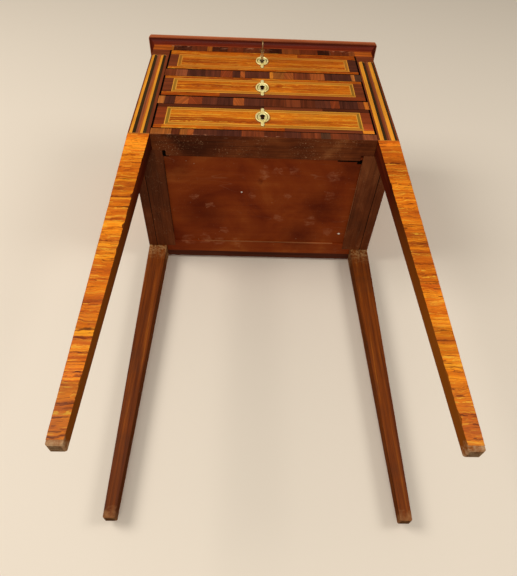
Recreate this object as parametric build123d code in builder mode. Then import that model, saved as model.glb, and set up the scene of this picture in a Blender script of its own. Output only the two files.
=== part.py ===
from build123d import *
import os

# Small work table in the neoclassical style: a case of three locked drawers on four
# tapered square legs, under an overhanging top with a moulded edge.
#
# Units are millimetres. +Z is up and the feet stand on Z = 0. +X is to the right of a
# person who faces the drawers, and the drawers open towards -Y. The origin is on the
# floor, below the middle of the whole object's box. Depths in the dimensions below are
# counted back from the front plane of the case.

# ---- Driving dimensions ----------------------------------------------------------------
case_width = 390.0
case_depth = 250.0
leg_height = 452.0            # floor to the underside of the case
stile_width = 31.0            # a leg's section where it runs up the corner of the case
stile_depth = 25.0
foot_size = 15.0
foot_chamfer = 1.2

bottom_rail_height = 14.5
rail_height = 22.0
top_rail_height = 18.0
drawer_openings = {"bottom": 68.5, "middle": 65.0, "top": 69.0}

top_thickness = 19.0
top_overhang = 11.0           # at the front and both sides
top_overhang_back = 3.0
top_corner_clip = 4.0
moulding_width = 20.0
moulding_fillet = 1.2         # the small step below the hollow
hollow_top = 7.6
hollow_radius = 8.0
bead_inset = 2.2              # the upright edge starts this far in
bead_start = 8.6
bead_step = 1.2
bead_end = 10.4
bead_radius = 2.2
top_arris_radius = 3.2

rail_depth = 36.0
rail_notch_depth = 9.0        # each rail's back corners step in beside the runners
rail_notch_x = 145.0
tenon_length = 12.0
tenon_depth = 16.0
tenon_shoulder = 3.0
tenon_root = 1.0              # how far a tenon is rooted in its rail

side_thickness = 14.0
back_thickness = 13.0
tongue_length = 6.0
tongue_thickness = 6.0
runner_inner_x = 149.0        # half the clear width between a left and a right runner
guide_height = 22.0
rear_rail_depth = 25.0
dust_board_thickness = 6.0
dust_board_tongue = 4.0
case_bottom_rise = 2.5        # the case's bottom board, above the underside of the rails
stop_size = (26.0, 7.0, 3.5)
stop_x = 95.0
stop_clearance = 0.4

side_gap = 0.8                # drawer to opening
bottom_gap = 0.4
top_gap = 0.6
front_thickness = 20.0
drawer_depth = 228.0
lining_thickness = 8.0        # drawer sides and back
drawer_bottom_thickness = 5.0
drawer_bottom_rise = 6.0
groove_depth = 4.0
back_drop = 5.0               # how far the drawer's back stops below its sides
tail_count = 3
tail_length = 14.0
tail_share = 0.62             # a tail's root, as a share of the pitch
tail_flare = 1.6

lock_x = -2.5                 # the locks sit a little left of the centre line
key_drop = 28.0               # top edge of a drawer front to the key's axis
lock_plate = (60.0, 1.5, 40.0)
lock_box_width = 44.0
lock_box_depth = 7.5
lock_wall = 1.2
keyhole_radius = 3.8
keyhole_slot = (5.2, 9.7)     # width, and length below the key's axis
bolt_head = (18.0, 4.0, 12.0)
bolt_tail = (30.0, 2.4, 11.0)
bolt_travel = 6.0
bolt_clearance = 0.35
bolt_drop = 0.2               # the drawn bolt's top, below the top of the drawer front
bolt_lap = 4.0                # how far the bolt's tail laps its head
mortise_depth = 7.5
mortise_margin = 1.0
drill_pin_radius = 1.0

key_shank_radius = 2.4
key_bore_radius = 1.05
key_tip_depth = 17.6
key_bit = (2.2, 4.2, 7.4)     # thickness, width along the shank, reach from the axis
key_bow_centre = 25.5         # in front of the drawer front
key_bow_radius = 8.5
key_bow_hole_radius = 4.8
key_bow_thickness = 2.4
key_neck = 1.5                # the shank's start, behind the bow's edge
key_collars = [(0.0, 1.2, 1.8), (3.2, 0.7, 1.2)]    # place on the shank, rise, length
key_bore_spare = 1.0

escutcheon_drop = 3.5         # its centre, below the key's axis
escutcheon_radii = (11.0, 14.5)
escutcheon_thickness = 1.4
escutcheon_rim = 2.4
rim_rise = 1.0
escutcheon_disc_radii = (6.8, 10.2)
disc_rise = 0.5
lug_width = 5.2
lug_end_centre = 21.6
pin_centre = 20.8
pin_radius = 0.55
pin_length = 9.0
pin_head_radius = 1.3
pin_head_height = 0.6
pin_crown_radius = 0.65

screw_radius = 1.9
screw_head_radius = 3.8
screw_length = 30.0
lock_screw_radius = 1.2
lock_screw_head_radius = 2.2
lock_screw_length = 9.0
lock_screw_drops = (8.0, 32.0)    # top edge of a drawer front to each row of screws
top_screw_inset = 4.0             # towards the middle from the kicker's centre line
top_screw_depths = (70.0, 185.0)

# ---- Worked out from them --------------------------------------------------------------
half_width = case_width / 2
opening_x = half_width - stile_width
panel_inner_x = half_width - side_thickness
rear_stile_y = case_depth - stile_depth
back_panel_y = case_depth - back_thickness
key_reach = key_bow_centre + key_bow_radius
front_y = -(case_depth + top_overhang_back - key_reach) / 2

rails = {}
drawers = {}
level = leg_height
for name, height in [("bottom_rail", bottom_rail_height), ("lower_rail", rail_height),
                     ("upper_rail", rail_height), ("top_rail", top_rail_height)]:
    rails[name] = (level, level + height)
    level += height
    drawer = {"bottom_rail": "bottom", "lower_rail": "middle", "upper_rail": "top"}.get(name)
    if drawer:
        drawers[drawer] = (level + bottom_gap, level + drawer_openings[drawer] - top_gap)
        level += drawer_openings[drawer]
case_top = level
rail_above = {"bottom": "lower_rail", "middle": "upper_rail", "top": "top_rail"}


def block(x, y, z, mode=Mode.ADD):
    """A box between pairs of limits, with y counted back from the case's front plane."""
    centre = (sum(x) / 2, front_y + sum(y) / 2, sum(z) / 2)
    with Locations(centre):
        Box(x[1] - x[0], y[1] - y[0], z[1] - z[0], mode=mode)


def sided(side, near, far):
    """The x limits of something between two distances from the middle, on one side."""
    return (near, far) if side > 0 else (-far, -near)


def save(part, name):
    part.label = name
    export_step(part, f"parts/{name}.step")


# ---- Legs and case ---------------------------------------------------------------------
def tenon_limits(side, rail, reach):
    """A rail's tenon on one side, as limits of x, y and z."""
    low, high = rails[rail]
    y_start = (stile_depth - tenon_depth) / 2
    return (sided(side, opening_x - reach, opening_x + tenon_length),
            (y_start, y_start + tenon_depth),
            (low + tenon_shoulder, high - tenon_shoulder))


def leg_block(side, y_start):
    """The corner stile with its tapered leg below, in one piece of wood."""
    x_centre = side * (half_width - stile_width / 2)
    y_centre = front_y + y_start + stile_depth / 2
    block(sided(side, opening_x, half_width), (y_start, y_start + stile_depth),
          (leg_height, case_top))
    with BuildSketch(Plane.XY) as foot:
        with Locations((x_centre, y_centre)):
            Rectangle(foot_size, foot_size)
    with BuildSketch(Plane.XY.offset(leg_height)) as shoulder:
        with Locations((x_centre, y_centre)):
            Rectangle(stile_width, stile_depth)
    loft([foot.sketch, shoulder.sketch])


def panel_tongue(side, y):
    """The x, y and z limits of a side panel's tongue, or of the groove that holds it."""
    inner = panel_inner_x + (side_thickness - tongue_thickness) / 2
    return sided(side, inner, inner + tongue_thickness), y, (leg_height, case_top)


def make_front_leg(side):
    with BuildPart() as leg:
        leg_block(side, 0.0)
        chamfer(leg.edges().group_by(Axis.Z)[0], foot_chamfer)
        block(*panel_tongue(side, (stile_depth - tongue_length, stile_depth)), mode=Mode.SUBTRACT)
        for rail in rails:
            block(*tenon_limits(side, rail, 0.0), mode=Mode.SUBTRACT)
    return leg.part


def make_rear_leg(side):
    back_groove_y = back_panel_y + (back_thickness - tongue_thickness) / 2
    with BuildPart() as leg:
        leg_block(side, rear_stile_y)
        chamfer(leg.edges().group_by(Axis.Z)[0], foot_chamfer)
        block(*panel_tongue(side, (rear_stile_y, rear_stile_y + tongue_length)), mode=Mode.SUBTRACT)
        block(sided(side, opening_x, opening_x + tongue_length),
              (back_groove_y, back_groove_y + tongue_thickness), (leg_height, case_top),
              mode=Mode.SUBTRACT)
    return leg.part


def make_side_panel(side):
    with BuildPart() as panel:
        block(sided(side, panel_inner_x, half_width), (stile_depth, rear_stile_y),
              (leg_height, case_top))
        block(*panel_tongue(side, (stile_depth - tongue_length, rear_stile_y + tongue_length)))
    return panel.part


def make_back_panel():
    tongue_y = back_panel_y + (back_thickness - tongue_thickness) / 2
    tongue_x = opening_x + tongue_length
    with BuildPart() as panel:
        block((-opening_x, opening_x), (back_panel_y, case_depth), (leg_height, case_top))
        block((-tongue_x, tongue_x), (tongue_y, tongue_y + tongue_thickness),
              (leg_height, case_top))
    return panel.part


def dust_board_limits(rail):
    """The thin board behind a rail, held in grooves all round."""
    low, high = rails[rail]
    z_low = (low + high - dust_board_thickness) / 2
    y_end = back_panel_y
    if rail == "bottom_rail":
        z_low = low + case_bottom_rise
        y_end = back_panel_y - rear_rail_depth + dust_board_tongue
    half = runner_inner_x + dust_board_tongue
    return ((-half, half), (rail_depth - dust_board_tongue, y_end),
            (z_low, z_low + dust_board_thickness))


def make_dust_board(rail):
    with BuildPart() as board:
        block(*dust_board_limits(rail))
    return board.part


def bolt_y():
    """The middle of the lock bolt's thickness, back from the front plane."""
    return front_thickness - lock_plate[1] - lock_box_depth / 2


def make_front_rail(rail):
    low, high = rails[rail]
    locked_drawer = {above: drawer for drawer, above in rail_above.items()}.get(rail)
    with BuildPart() as piece:
        block((-opening_x, opening_x), (0.0, rail_depth), (low, high))
        for side in (-1, 1):
            block(sided(side, rail_notch_x, opening_x),
                  (rail_depth - rail_notch_depth, rail_depth), (low, high), mode=Mode.SUBTRACT)
            block(*tenon_limits(side, rail, tenon_root))
        if rail != "top_rail":
            block(*dust_board_limits(rail), mode=Mode.SUBTRACT)
        if locked_drawer:
            half_x = bolt_head[0] / 2 + mortise_margin
            half_y = bolt_head[1] / 2 + mortise_margin
            block((lock_x - half_x, lock_x + half_x), (bolt_y() - half_y, bolt_y() + half_y),
                  (low, low + mortise_depth), mode=Mode.SUBTRACT)
    return piece.part


def make_rear_rail():
    """The rail behind the bottom board, with ears that fill in behind the runners."""
    low, high = rails["bottom_rail"]
    with BuildPart() as piece:
        block((-runner_inner_x, runner_inner_x), (back_panel_y - rear_rail_depth, back_panel_y),
              (low, high))
        block((-opening_x, opening_x), (rear_stile_y, back_panel_y), (low, high))
        block(*dust_board_limits("bottom_rail"), mode=Mode.SUBTRACT)
    return piece.part


def make_runner(side, rail):
    """A drawer runner, rebated so that its outer part stands up and guides the drawer."""
    low, high = rails[rail]
    y_limits = (rail_depth - rail_notch_depth, rear_stile_y)
    with BuildPart() as runner:
        block(sided(side, runner_inner_x, panel_inner_x), y_limits, (low, high))
        block(sided(side, opening_x, panel_inner_x), y_limits, (low, high + guide_height))
        block(*dust_board_limits(rail), mode=Mode.SUBTRACT)
    return runner.part


# ---- Top -------------------------------------------------------------------------------
def top_screw_places(side):
    x = (runner_inner_x + panel_inner_x) / 2 - top_screw_inset
    return [(side * x, y) for y in top_screw_depths]


def make_kicker(side):
    """The strip under the top that keeps the upper drawer level as it comes out."""
    low, high = rails["top_rail"]
    with BuildPart() as kicker:
        block(sided(side, runner_inner_x, panel_inner_x),
              (rail_depth - rail_notch_depth, rear_stile_y), (low, high))
        for x, y in top_screw_places(side):
            with Locations((x, front_y + y, low)):
                Cylinder(screw_radius, top_rail_height, mode=Mode.SUBTRACT,
                         align=(Align.CENTER, Align.CENTER, Align.MIN))
                Cone(screw_head_radius, screw_radius, screw_head_radius, mode=Mode.SUBTRACT,
                     align=(Align.CENTER, Align.CENTER, Align.MIN))
    return kicker.part


def make_top_screws():
    low = rails["top_rail"][0]
    with BuildPart() as screws:
        for side in (-1, 1):
            for x, y in top_screw_places(side):
                with Locations((x, front_y + y, low)):
                    Cylinder(screw_radius, screw_length,
                             align=(Align.CENTER, Align.CENTER, Align.MIN))
                    Cone(screw_head_radius, screw_radius, screw_head_radius,
                         align=(Align.CENTER, Align.CENTER, Align.MIN))
    return screws.part


top_half_width = half_width + top_overhang
core_half_width = top_half_width - moulding_width
core_front = moulding_width - top_overhang
top_back = case_depth + top_overhang_back


def make_top_board():
    depth = screw_length - top_rail_height
    with BuildPart() as board:
        block((-core_half_width, core_half_width), (core_front, top_back),
              (case_top, case_top + top_thickness))
        for side in (-1, 1):
            for x, y in top_screw_places(side):
                with Locations((x, front_y + y, case_top)):
                    Cylinder(screw_radius, depth, mode=Mode.SUBTRACT,
                             align=(Align.CENTER, Align.CENTER, Align.MIN))
    return board.part


def moulding_section(plane):
    """The edge moulding: a hollow below, then a nearly upright edge with rounded arrises.

    The sketch's first axis points out of the case, and its second axis points up."""
    outer = top_overhang
    inner = top_overhang - moulding_width
    with BuildSketch(plane) as section:
        with BuildLine():
            fillet_end = (moulding_fillet, moulding_fillet)
            hollow_end = (outer - bead_inset, hollow_top)
            bead_low = (outer - bead_step, bead_start)
            bead_high = (outer, bead_end)
            arris_low = (outer, top_thickness - top_arris_radius)
            arris_high = (outer - top_arris_radius, top_thickness)
            Polyline((inner, 0), (moulding_fillet, 0), fillet_end)
            RadiusArc(fillet_end, hollow_end, hollow_radius)
            Polyline(hollow_end, (outer - bead_inset, bead_start), bead_low)
            RadiusArc(bead_low, bead_high, -bead_radius)
            Line(bead_high, arris_low)
            RadiusArc(arris_low, arris_high, -top_arris_radius)
            Polyline(arris_high, (inner, top_thickness), (inner, 0))
        make_face()
    return section.sketch


def clip_corner(side):
    """Take the sharp point off a front corner of the top, square to the mitre."""
    start = (side * (top_half_width - top_corner_clip), front_y - top_overhang, 0)
    split(bisect_by=Plane(origin=start, x_dir=(0, 0, 1), z_dir=(side, -1, 0)), keep=Keep.BOTTOM)


def mitre_plane(side):
    """The upright plane through a front corner, at 45 degrees; its normal points forward."""
    corner = (side * top_half_width, front_y - top_overhang, 0)
    return Plane(origin=corner, x_dir=(0, 0, 1), z_dir=(-side, -1, 0))


def make_front_moulding():
    section_plane = Plane(origin=(top_half_width, front_y, case_top), x_dir=(0, -1, 0),
                          z_dir=(-1, 0, 0))
    with BuildPart() as moulding:
        extrude(moulding_section(section_plane), amount=2 * top_half_width)
        for side in (-1, 1):
            split(bisect_by=mitre_plane(side), keep=Keep.TOP)
            clip_corner(side)
    return moulding.part


def make_side_moulding(side):
    section_plane = Plane(origin=(side * half_width, front_y - top_overhang, case_top),
                          x_dir=(side, 0, 0), z_dir=(0, -side, 0))
    with BuildPart() as moulding:
        extrude(moulding_section(section_plane), amount=-side * (top_back + top_overhang))
        split(bisect_by=mitre_plane(side), keep=Keep.BOTTOM)
        clip_corner(side)
    return moulding.part


def make_drawer_stops():
    """Six small blocks on the rails that the drawer fronts come back against."""
    stop_y = front_thickness + stop_clearance
    with BuildPart() as stops:
        for rail in ("bottom_rail", "lower_rail", "upper_rail"):
            z = rails[rail][1]
            for side in (-1, 1):
                x = side * stop_x
                block((x - stop_size[0] / 2, x + stop_size[0] / 2),
                      (stop_y, stop_y + stop_size[1]),
                      (z, z + stop_size[2]))
    return stops.part


# ---- Drawers ---------------------------------------------------------------------------
drawer_half = opening_x - side_gap
lining_x = drawer_half - lining_thickness


def tail_middles(z_low, z_high):
    pitch = (z_high - z_low) / tail_count
    return pitch, [z_low + pitch * (i + 0.5) for i in range(tail_count)]


def front_tails(side, z_low, z_high, mode):
    """The lapped dovetails that hold a drawer side to its front."""
    pitch, middles = tail_middles(z_low, z_high)
    root = front_y + front_thickness
    tip = root - tail_length
    half = pitch * tail_share / 2
    with BuildSketch(Plane.YZ.offset(sided(side, lining_x, drawer_half)[0])) as tails:
        for z in middles:
            with BuildLine():
                Polyline((root, z - half), (tip, z - half - tail_flare),
                         (tip, z + half + tail_flare), (root, z + half), close=True)
            make_face()
    extrude(tails.sketch, amount=lining_thickness, mode=mode)


def back_pins(side, z_low, z_high, mode):
    """The back's dovetail pins, which pass through the drawer side."""
    pitch, middles = tail_middles(z_low, z_high)
    outer = front_y + drawer_depth
    inner = outer - lining_thickness
    half = pitch * (1 - tail_share) / 2
    with BuildSketch(Plane.YZ.offset(sided(side, lining_x, drawer_half)[0])) as pins:
        for z in middles:
            with BuildLine():
                Polyline((inner, z - half), (outer, z - half + tail_flare),
                         (outer, z + half - tail_flare), (inner, z + half), close=True)
            make_face()
    extrude(pins.sketch, amount=lining_thickness, mode=mode)


def drawer_bottom_limits(z_low):
    half = lining_x + groove_depth
    z = z_low + drawer_bottom_rise
    return ((-half, half), (front_thickness - groove_depth, drawer_depth),
            (z, z + drawer_bottom_thickness))


def drawer_back_levels(z_low, z_high):
    return z_low + drawer_bottom_rise + drawer_bottom_thickness, z_high - back_drop


def keyhole(y_start, y_end, z_key):
    """A round hole for the shank and a slot below it for the bit, cut right through."""
    width, length = keyhole_slot
    with BuildSketch(Plane.XZ.offset(-(front_y + y_start))) as hole:
        with Locations((lock_x, z_key)):
            Circle(keyhole_radius)
        with Locations((lock_x, z_key - length / 2)):
            Rectangle(width, length)
    extrude(hole.sketch, amount=-(y_end - y_start), mode=Mode.SUBTRACT)


def lock_screw_places(z_high):
    x = (lock_plate[0] + lock_box_width) / 4
    return [(lock_x + side * x, z_high - z) for side in (-1, 1) for z in lock_screw_drops]


def escutcheon_pin_places(z_key):
    z = z_key - escutcheon_drop
    return [(lock_x, z + side * pin_centre) for side in (-1, 1)]


def along_y(radius, length, mode=Mode.ADD, cone_radius=None):
    """A round bar or cone from the current place, running back along +Y."""
    low = (Align.CENTER, Align.CENTER, Align.MIN)
    if cone_radius is None:
        Cylinder(radius, length, rotation=(-90, 0, 0), align=low, mode=mode)
    else:
        Cone(radius, cone_radius, length, rotation=(-90, 0, 0), align=low, mode=mode)


def make_drawer_front(z_low, z_high):
    z_key = z_high - key_drop
    box_front = front_thickness - lock_plate[1] - lock_box_depth
    half_plate, half_box = lock_plate[0] / 2, lock_box_width / 2
    with BuildPart() as front:
        block((-drawer_half, drawer_half), (0.0, front_thickness), (z_low, z_high))
        for side in (-1, 1):
            front_tails(side, z_low, z_high, Mode.SUBTRACT)
        block(*drawer_bottom_limits(z_low), mode=Mode.SUBTRACT)
        block((lock_x - half_plate, lock_x + half_plate),
              (front_thickness - lock_plate[1], front_thickness),
              (z_high - lock_plate[2], z_high), mode=Mode.SUBTRACT)
        block((lock_x - half_box, lock_x + half_box), (box_front, front_thickness),
              (z_high - lock_plate[2], z_high), mode=Mode.SUBTRACT)
        keyhole(0.0, box_front, z_key)
        for x, z in escutcheon_pin_places(z_key):
            with Locations((x, front_y, z)):
                along_y(pin_radius, pin_length - escutcheon_thickness, Mode.SUBTRACT)
        for x, z in lock_screw_places(z_high):
            with Locations((x, front_y + front_thickness - lock_screw_length, z)):
                along_y(lock_screw_radius, lock_screw_length, Mode.SUBTRACT)
    return front.part


def make_drawer_side(side, z_low, z_high):
    back_low, back_high = drawer_back_levels(z_low, z_high)
    with BuildPart() as board:
        block(sided(side, lining_x, drawer_half), (front_thickness, drawer_depth),
              (z_low, z_high))
        front_tails(side, z_low, z_high, Mode.ADD)
        back_pins(side, back_low, back_high, Mode.SUBTRACT)
        block(*drawer_bottom_limits(z_low), mode=Mode.SUBTRACT)
    return board.part


def make_drawer_back(z_low, z_high):
    back_low, back_high = drawer_back_levels(z_low, z_high)
    with BuildPart() as board:
        block((-lining_x, lining_x), (drawer_depth - lining_thickness, drawer_depth),
              (back_low, back_high))
        for side in (-1, 1):
            back_pins(side, back_low, back_high, Mode.ADD)
    return board.part


def make_drawer_bottom(z_low):
    with BuildPart() as board:
        block(*drawer_bottom_limits(z_low))
    return board.part


# ---- Locks, escutcheons and key --------------------------------------------------------
def make_lock_case(z_high):
    """A brass case let into the back of the drawer front, open above for its bolt."""
    z_key = z_high - key_drop
    z_low = z_high - lock_plate[2]
    plate_front = front_thickness - lock_plate[1]
    box_front = plate_front - lock_box_depth
    half_plate, half_box = lock_plate[0] / 2, lock_box_width / 2
    slot_x = bolt_head[0] / 2 + bolt_clearance
    slot_y = bolt_head[1] / 2 + bolt_clearance
    with BuildPart() as case:
        block((lock_x - half_plate, lock_x + half_plate), (plate_front, front_thickness),
              (z_low, z_high))
        block((lock_x - half_box, lock_x + half_box), (box_front, plate_front), (z_low, z_high))
        block((lock_x - half_box + lock_wall, lock_x + half_box - lock_wall),
              (box_front + lock_wall, plate_front),
              (z_low + lock_wall, z_high - lock_wall), mode=Mode.SUBTRACT)
        block((lock_x - slot_x, lock_x + slot_x), (bolt_y() - slot_y, bolt_y() + slot_y),
              (z_high - 2 * lock_wall, z_high), mode=Mode.SUBTRACT)
        keyhole(box_front, box_front + lock_wall, z_key)
        for x, z in lock_screw_places(z_high):
            with Locations((x, front_y + plate_front, z)):
                along_y(lock_screw_radius, lock_plate[1], Mode.SUBTRACT,
                        cone_radius=lock_screw_head_radius)
        with Locations((lock_x, front_y + box_front + lock_wall, z_key)):
            along_y(drill_pin_radius, lock_box_depth - lock_wall)
    return case.part


def make_lock_bolt(z_high):
    head_x, head_y, head_z = bolt_head
    tail_x, tail_y, tail_z = bolt_tail
    z_top = z_high - bolt_drop
    tail_top = z_top - head_z + bolt_lap
    with BuildPart() as bolt:
        block((lock_x - head_x / 2, lock_x + head_x / 2),
              (bolt_y() - head_y / 2, bolt_y() + head_y / 2), (z_top - head_z, z_top))
        block((lock_x - tail_x / 2, lock_x + tail_x / 2),
              (bolt_y() - tail_y / 2, bolt_y() + tail_y / 2), (tail_top - tail_z, tail_top))
    return bolt.part


def make_lock_screws(z_high):
    plate_front = front_thickness - lock_plate[1]
    shank = lock_screw_length - lock_plate[1]
    with BuildPart() as screws:
        for x, z in lock_screw_places(z_high):
            with Locations((x, front_y + plate_front - shank, z)):
                along_y(lock_screw_radius, shank)
            with Locations((x, front_y + plate_front, z)):
                along_y(lock_screw_radius, lock_plate[1], cone_radius=lock_screw_head_radius)
    return screws.part


def make_escutcheon(z_high):
    """An oval keyhole plate with a raised rim, a raised disc, and a pinned lug at each end."""
    z_key = z_high - key_drop
    z_centre = z_key - escutcheon_drop
    width, height = escutcheon_radii
    plane = Plane.XZ.offset(-front_y)
    with BuildPart() as plate:
        with BuildSketch(plane):
            with Locations((lock_x, z_centre)):
                Ellipse(width, height)
                Rectangle(lug_width, 2 * lug_end_centre)
            for side in (-1, 1):
                with Locations((lock_x, z_centre + side * lug_end_centre)):
                    Circle(lug_width / 2)
        extrude(amount=escutcheon_thickness)
        with BuildSketch(plane.offset(escutcheon_thickness)):
            with Locations((lock_x, z_centre)):
                Ellipse(width, height)
                Ellipse(width - escutcheon_rim, height - escutcheon_rim, mode=Mode.SUBTRACT)
        extrude(amount=rim_rise)
        with BuildSketch(plane.offset(escutcheon_thickness)):
            with Locations((lock_x, z_centre)):
                Ellipse(*escutcheon_disc_radii)
        extrude(amount=disc_rise)
        keyhole(-escutcheon_thickness - rim_rise, 0.0, z_key)
        for x, z in escutcheon_pin_places(z_key):
            with Locations((x, front_y - escutcheon_thickness, z)):
                along_y(pin_radius, escutcheon_thickness, Mode.SUBTRACT)
    return plate.part


def make_escutcheon_pins(z_high):
    with BuildPart() as pins:
        for x, z in escutcheon_pin_places(z_high - key_drop):
            with Locations((x, front_y - escutcheon_thickness, z)):
                along_y(pin_radius, pin_length)
            with Locations((x, front_y - escutcheon_thickness - pin_head_height, z)):
                along_y(pin_crown_radius, pin_head_height, cone_radius=pin_head_radius)
    return pins.part


def make_key(z_high):
    """A piped key, standing in the lock with its bow upright, edge on to the front."""
    z_key = z_high - key_drop
    thickness, width, reach = key_bit
    lock_back = front_thickness - lock_plate[1] - lock_box_depth + lock_wall
    bore_depth = key_tip_depth - lock_back + key_bore_spare
    shank_start = -(key_bow_centre - key_bow_radius + key_neck)
    with BuildPart() as key:
        with Locations((lock_x, front_y + shank_start, z_key)):
            along_y(key_shank_radius, key_tip_depth - shank_start)
        for place, rise, length in key_collars:
            with Locations((lock_x, front_y + shank_start + place, z_key)):
                along_y(key_shank_radius + rise, length)
        with BuildSketch(Plane.YZ.offset(lock_x - key_bow_thickness / 2)):
            with Locations((front_y - key_bow_centre, z_key)):
                Circle(key_bow_radius)
                Circle(key_bow_hole_radius, mode=Mode.SUBTRACT)
        extrude(amount=key_bow_thickness)
        block((lock_x - thickness / 2, lock_x + thickness / 2),
              (key_tip_depth - width, key_tip_depth), (z_key - reach, z_key))
        with Locations((lock_x, front_y + key_tip_depth - bore_depth, z_key)):
            along_y(key_bore_radius, bore_depth, Mode.SUBTRACT)
    return key.part


# ---- Write every piece -----------------------------------------------------------------
os.makedirs("parts", exist_ok=True)

for side, word in [(-1, "left"), (1, "right")]:
    save(make_front_leg(side), f"front_leg_{word}")
    save(make_rear_leg(side), f"rear_leg_{word}")
    save(make_side_panel(side), f"side_panel_{word}")
    save(make_kicker(side), f"kicker_{word}")
    save(make_side_moulding(side), f"top_moulding_{word}")
    for drawer, rail in [("bottom", "bottom_rail"), ("middle", "lower_rail"),
                         ("top", "upper_rail")]:
        save(make_runner(side, rail), f"{drawer}_runner_{word}")

for rail in rails:
    save(make_front_rail(rail), rail)

save(make_rear_rail(), "rear_rail")
save(make_back_panel(), "back_panel")
save(make_dust_board("bottom_rail"), "case_bottom")
save(make_dust_board("lower_rail"), "dust_board_lower")
save(make_dust_board("upper_rail"), "dust_board_upper")
save(make_drawer_stops(), "drawer_stops")
save(make_top_board(), "top_board")
save(make_front_moulding(), "top_moulding_front")
save(make_top_screws(), "top_screws")

for drawer, (z_low, z_high) in drawers.items():
    save(make_drawer_front(z_low, z_high), f"{drawer}_drawer_front")
    save(make_drawer_side(-1, z_low, z_high), f"{drawer}_drawer_side_left")
    save(make_drawer_side(1, z_low, z_high), f"{drawer}_drawer_side_right")
    save(make_drawer_back(z_low, z_high), f"{drawer}_drawer_back")
    save(make_drawer_bottom(z_low), f"{drawer}_drawer_bottom")
    save(make_lock_case(z_high), f"{drawer}_lock_case")
    save(make_lock_bolt(z_high), f"{drawer}_lock_bolt")
    save(make_lock_screws(z_high), f"{drawer}_lock_screws")
    save(make_escutcheon(z_high), f"{drawer}_escutcheon")
    save(make_escutcheon_pins(z_high), f"{drawer}_escutcheon_pins")

save(make_key(drawers["top"][1]), "key")
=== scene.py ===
# %% [markdown]
# # A small veneered work table
#
# The table is a case of three drawers on four tapered legs. Its carcase is plain
# timber, and nearly everything that catches the eye is veneer: sheets of wood under a
# millimetre thick, cut into bands and panels and glued down. So the lesson has two
# halves. The first gives each carcase board a wood finish. The second lays the
# veneers, one by one, and then dresses the drawers with their brass.

# %% Load the frame
import math
import random

import bmesh
import bpy
from mathutils import Matrix, Vector


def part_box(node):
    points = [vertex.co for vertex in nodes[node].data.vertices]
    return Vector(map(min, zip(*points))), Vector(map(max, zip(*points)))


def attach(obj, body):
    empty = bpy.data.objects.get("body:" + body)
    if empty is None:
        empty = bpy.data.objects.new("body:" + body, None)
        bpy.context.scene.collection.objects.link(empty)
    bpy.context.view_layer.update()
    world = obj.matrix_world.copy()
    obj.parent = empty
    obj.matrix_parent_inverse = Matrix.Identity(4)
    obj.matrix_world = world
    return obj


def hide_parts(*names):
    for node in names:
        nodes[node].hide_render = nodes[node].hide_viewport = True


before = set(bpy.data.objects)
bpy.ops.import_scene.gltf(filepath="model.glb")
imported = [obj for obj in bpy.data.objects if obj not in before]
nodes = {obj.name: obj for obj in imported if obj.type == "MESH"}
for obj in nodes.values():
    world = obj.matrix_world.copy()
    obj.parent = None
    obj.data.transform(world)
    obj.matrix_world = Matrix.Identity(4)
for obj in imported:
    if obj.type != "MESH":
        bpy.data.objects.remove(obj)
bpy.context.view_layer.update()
print("carcase boards and fittings:", len(nodes))

# %% [markdown]
# Every length in a workshop is in millimetres, and every length in Blender is in
# metres. One factor keeps the two apart. The main planes of the table come from the
# boards that are already there, so a veneer always lands on its board.

# %% Lengths and main planes
MM = 0.001


def lowest(node):
    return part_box(node)[0]


def highest(node):
    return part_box(node)[1]


front = lowest("bottom_rail").y
back = highest("back_panel").y
half_width = highest("side_panel_right").x
case_bottom_z = lowest("bottom_rail").z
case_top_z = lowest("top_board").z
table_top_z = highest("top_board").z
stile_inner_x = lowest("front_leg_right").x
both_sides = {"left": -1, "right": 1}
drawers = ("top", "middle", "bottom")
print("front plane", round(front, 4), "half width", round(half_width, 4))
print("case from", round(case_bottom_z, 4), "to", round(case_top_z, 4))

# %% [markdown]
# ## Camera and light
#
# The table is seen from low down in front of it, looking up under the case. The lens is
# a normal one, and the camera is tipped up by about forty degrees, which is why the
# legs spread apart towards the bottom of the picture.

# %% Camera
camera_data = bpy.data.cameras.new("camera")
camera_data.sensor_width = 36.0
camera_data.lens = 30.1226
camera_data.clip_start = 0.01
camera = bpy.data.objects.new("camera", camera_data)
camera.location = (-0.02156, -0.50413, -0.15467)
camera.rotation_euler = [math.radians(a) for a in (129.545732, -0.0433564, -1.9569378)]
bpy.context.scene.collection.objects.link(camera)
bpy.context.scene.camera = camera
bpy.context.scene.view_settings.view_transform = "Standard"
print("camera", [round(v, 3) for v in camera.location])

# %% [markdown]
# Colour is easier to judge in soft light than in hard light. One broad lamp stands in
# front and above, a second fills from the other side, a third lifts the underside, and
# a fourth lights the back. The last one would lie as a grey glare along every surface
# that runs away from the eye, so reflections leave it out.


# %% Lamps
def soft_lamp(name, place, size, watts, colour):
    data = bpy.data.lights.new(name, "AREA")
    data.shape = "DISK"
    data.size = size
    data.energy = watts
    data.color = colour
    lamp = bpy.data.objects.new(name, data)
    lamp.location = place
    lamp.rotation_euler = (middle_of_case - Vector(place)).to_track_quat("-Z", "Y").to_euler()
    bpy.context.scene.collection.objects.link(lamp)
    return lamp


middle_of_case = Vector((0.0, 0.0, 0.55))
soft_lamp("main_lamp", (-1.7, -1.7, 0.55), 1.3, 34.0, (1.0, 0.97, 0.93))
soft_lamp("fill_lamp", (1.6, -1.6, 0.30), 1.0, 15.0, (1.0, 0.98, 0.96))
soft_lamp("low_lamp", (-0.1, -1.2, -1.1), 1.0, 9.0, (1.0, 0.97, 0.94))
back_lamp = soft_lamp("back_lamp", (0.0, 2.4, 1.3), 1.2, 16.0, (1.0, 0.98, 0.96))
back_lamp.visible_glossy = False
print("lamps:", [lamp.name for lamp in bpy.data.lights])

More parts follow.
